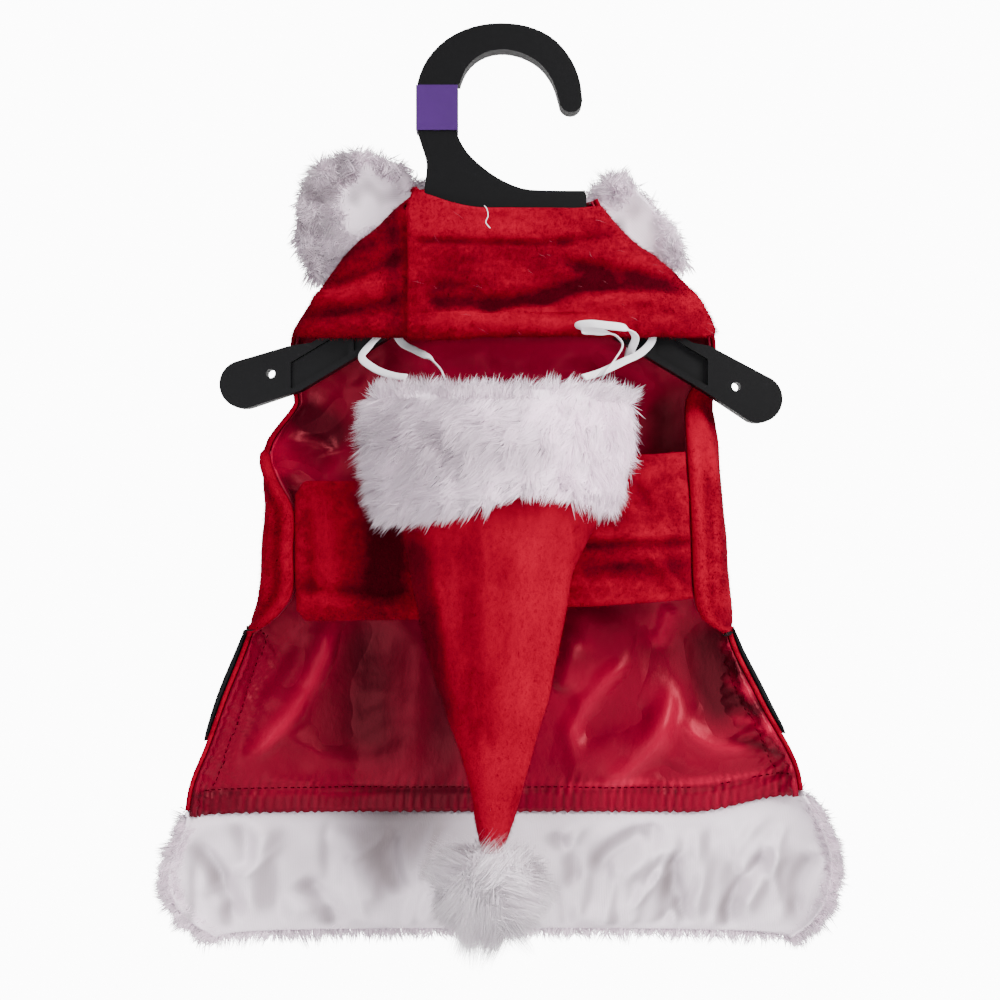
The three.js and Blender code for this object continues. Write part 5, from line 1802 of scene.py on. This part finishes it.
@dataclass
class Pompom:
    """The pompom: a small core with loose strands every way but up into the cone."""

    wear: Wardrobe
    middle: Triple = (-4.0, -32.6, -308.7)
    radius: float = 9.0
    wall: float = 2.0
    pile: Pile = Pile(42000, (7.0, 17.0), (0, 0, -1), 0.08, 0.34, 1.45, 9.0, 0.13, seed=71)

    def build(self) -> None:
        """Makes the core and its strands, thicker on some sides, with painted shade between the tufts and on
        its left.
        """
        tilt, turn = np.linspace(0.06, math.pi - 0.02, 26), np.linspace(0, 2 * math.pi, 49)
        tilt, turn = np.meshgrid(tilt, turn, indexing="ij")
        way = np.stack([np.sin(tilt) * np.cos(turn), np.sin(tilt) * np.sin(turn), np.cos(tilt)], -1)
        middle, ring = np.array(self.middle), way[:, :-1]
        core = middle + way * self.radius
        inner = middle + ring * (self.radius - self.wall)
        piece = Builder.wall("pompom_core", inner, core[:, :-1], ring=True)
        place(piece, self.wear.knit, Slot.POMPOM, "hat_pompom")
        # few strands stand where the cone's tip goes in
        weight = 1 - 0.93 * smooth((way[..., 2] - 0.45) / 0.35)
        lumps = np.clip(0.5 + 0.8 * np.sin(3 * turn + 2 * tilt) * np.sin(4 * tilt - turn), 0, 1)
        # painted shade: greyer between the tufts and on the left side
        grey = 0.4 * (1 - lumps) ** 2 * (0.4 + 0.6 * smooth((0.2 - way[..., 0]) / 0.8))
        fur = Fur(core, way, self.pile, weight * (0.8 + 0.6 * lumps)).grow("pompom_fur", grey)
        place(fur, self.wear.pompom, Slot.POMPOM)


@dataclass
class Elastic:
    """The two loops of flat elastic over the hanger's arms, each from the brim and back to it."""

    wear: Wardrobe
    half_width: float = 1.5
    half_thick: float = 0.34
    steps: int = 10
    left: tuple[Triple, ...] = (
        (-35, -27, -125.6), (-40, -23, -124.6), (-48, -14, -121), (-52.6, -8.5, -116.4), (-49.6, -7.2, -112),
        (-46.2, -5.9, -107.6), (-45.6, -5.4, -102), (-45.8, -5.2, -96.4), (-45.8, -2.8, -91.4),
        (-45.2, 1.6, -91), (-44.4, 5.6, -95), (-42.5, 5.6, -103), (-38.5, 5, -109.8), (-33, -1.5, -113.4),
        (-27, -12, -117.4), (-22.5, -22, -122.4), (-21, -27, -125.6),
    )
    right: tuple[Triple, ...] = (
        (29.6, -27, -125.7), (36, -21.5, -123.4), (45, -13.6, -118.8), (52.6, -8, -114.6),
        (56.6, -5.7, -109.6), (56.4, -5.4, -103.6), (55.6, -3.2, -97.4), (54, 1.4, -96.6), (52.4, 5.3, -99.8),
        (50.8, 5.8, -107), (48.6, 4.6, -114), (47.6, -3.5, -116.6), (48.4, -11.6, -113.6),
        (49.4, -15.2, -109.8), (46.2, -17.3, -107), (39, -17.6, -105.8), (32, -17.4, -105.2),
        (28.2, -16.2, -105.7), (29.4, -14.9, -107), (35, -14.8, -107.6), (42, -15, -109.2),
        (44.6, -15.8, -112.6), (41.6, -19, -118.4), (38.2, -23.6, -123), (36.8, -26.6, -125.4),
    )

    def build(self) -> None:
        """Makes both loops."""
        self.loop("left", self.left, (-1, 0, -0.6))
        self.loop("right", self.right, (1, 0, -0.6))

    def loop(self, name: str, points: tuple[Triple, ...], lean: Triple) -> None:
        """One loop, which turns to face the viewer near its end.

        Args:
            name: the side's name.
            points: places along it.
            lean: the way of its width at its start.
        """
        path = through(np.array(points, float), self.steps)
        along = run(path)
        turned = smooth((along / along[-1] - 0.8) / 0.08)[:, None]
        facing = np.array(lean) * (1 - turned) + np.array([0, -1, 0]) * turned
        piece = tape("elastic_" + name, path, facing, self.half_width, self.half_thick)
        place(piece, self.wear.elastic, Slot.ELASTIC, "hat_elastic_" + name)


# ---- hanger and stage ---------------------------------------------------------------
@dataclass
class Hardware:
    """The hanger and its clip, whose own solids are shown with softened edges."""

    wear: Wardrobe
    hanger_edge: float = 0.9
    clip_edge: float = 0.5
    sharpest: float = math.radians(50)

    def build(self) -> None:
        """Gives both their finish and rounds their edges."""
        self.finish("hanger", self.wear.plastic, self.hanger_edge)
        self.finish("size_clip", self.wear.clip, self.clip_edge)

    def finish(self, node: str, material: Material, width: float) -> None:
        """Gives one solid its material and rounds its edges.

        Args:
            node: the solid's name.
            material: its finish.
            width: how far the rounding reaches, in millimetres.
        """
        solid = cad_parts[node]
        solid.data.materials.clear()
        solid.data.materials.append(material)
        bevel = solid.modifiers.new("soft_edge", "BEVEL")
        bevel.width, bevel.segments = width * MM, 2
        bevel.limit_method, bevel.angle_limit = "ANGLE", self.sharpest
        bevel.harden_normals = False
        log.info("%s: finished", node)


@dataclass(frozen=True)
class Lamp:
    """A square soft light aimed at the coat, in metres and watts."""

    name: str
    place: Triple
    size: float
    power: float
    colour: Triple

    def build(self, aim: Triple) -> None:
        """Adds the light.

        Args:
            aim: the point that it faces.
        """
        data = bpy.data.lights.new(self.name, "AREA")
        data.size, data.energy, data.color = self.size, self.power, self.colour
        lamp = bpy.data.objects.new(self.name, data)
        lamp.location = self.place
        lamp.rotation_mode = "QUATERNION"
        lamp.rotation_quaternion = (Vector(aim) - Vector(self.place)).to_track_quat("-Z", "Y")
        bpy.context.scene.collection.objects.link(lamp)


@dataclass
class Studio:
    """Pale backdrop, soft light and the camera, in metres."""

    middle: Triple = (-0.00076, 0.0, -0.1702)
    distance: float = 0.62
    width: float = 0.38  # of what the camera sees at the middle
    sensor: float = 36
    world: float = 0.42
    aim: Triple = (0, 0, -0.17)
    lamps: tuple[Lamp, ...] = (
        Lamp("key", (0.62, -0.60, 0.22), 0.42, 19, (1.0, 0.98, 0.97)),
        Lamp("fill", (-0.3, -0.9, -0.32), 0.6, 6.0, (0.97, 0.97, 1.0)),
        Lamp("top", (0.0, -0.3, 0.65), 0.5, 7, (1.0, 1.0, 1.0)),
    )

    def build(self) -> None:
        """Sets the stage."""
        self.backdrop()
        world = bpy.data.worlds.new("pale")
        bpy.context.scene.world = world
        world.use_nodes = True
        sky = world.node_tree.nodes["Background"].inputs
        sky["Color"].default_value = (1, 1, 1, 1)
        sky["Strength"].default_value = self.world
        for lamp in self.lamps:
            lamp.build(self.aim)
        data = bpy.data.cameras.new("camera")
        data.sensor_width, data.lens = self.sensor, self.sensor * self.distance / self.width
        camera = bpy.data.objects.new("camera", data)
        camera.location = (self.middle[0], -self.distance, self.middle[2])
        camera.rotation_euler = (math.pi / 2, 0, 0)
        bpy.context.scene.collection.objects.link(camera)
        bpy.context.scene.camera = camera

    @staticmethod
    def backdrop() -> None:
        """A floor that sweeps up into a wall."""
        bend = np.linspace(0, math.pi / 2, 12)
        sweep = np.stack([500 + 300 * np.sin(bend), -220 - 300 * np.cos(bend)], 1)
        profile = np.concatenate([[[-1600, -520]], sweep, [[800, 1600]]])
        x = np.tile([-2200.0, 2200.0], len(profile))
        points = np.stack([x, np.repeat(profile[:, 0], 2), np.repeat(profile[:, 1], 2)], 1)
        start = np.arange(len(profile) - 1)[:, None] * 2
        loops = (start + np.array([0, 1, 3, 2])).ravel()
        made = Builder.mesh("backdrop", points, loops, np.full(len(profile) - 1, 4))
        made.data.materials.append(Paper().material("pale_paper"))


def main() -> None:
    """Builds the stage, then the coat, the hat and the hanger."""
    logging.basicConfig(level=logging.INFO, format="%(name)s: %(message)s")
    Studio().build()
    wear = Wardrobe()
    coat = [Lining(wear), Panel(wear), *straps(wear), Belt(wear), Hem(wear), Collar(wear)]
    hat = [Cone(wear), Brim(wear), Pompom(wear), Elastic(wear)]
    for assembly in (*coat, *hat, Hardware(wear)):
        assembly.build()


if __name__ == "__main__":
    main()
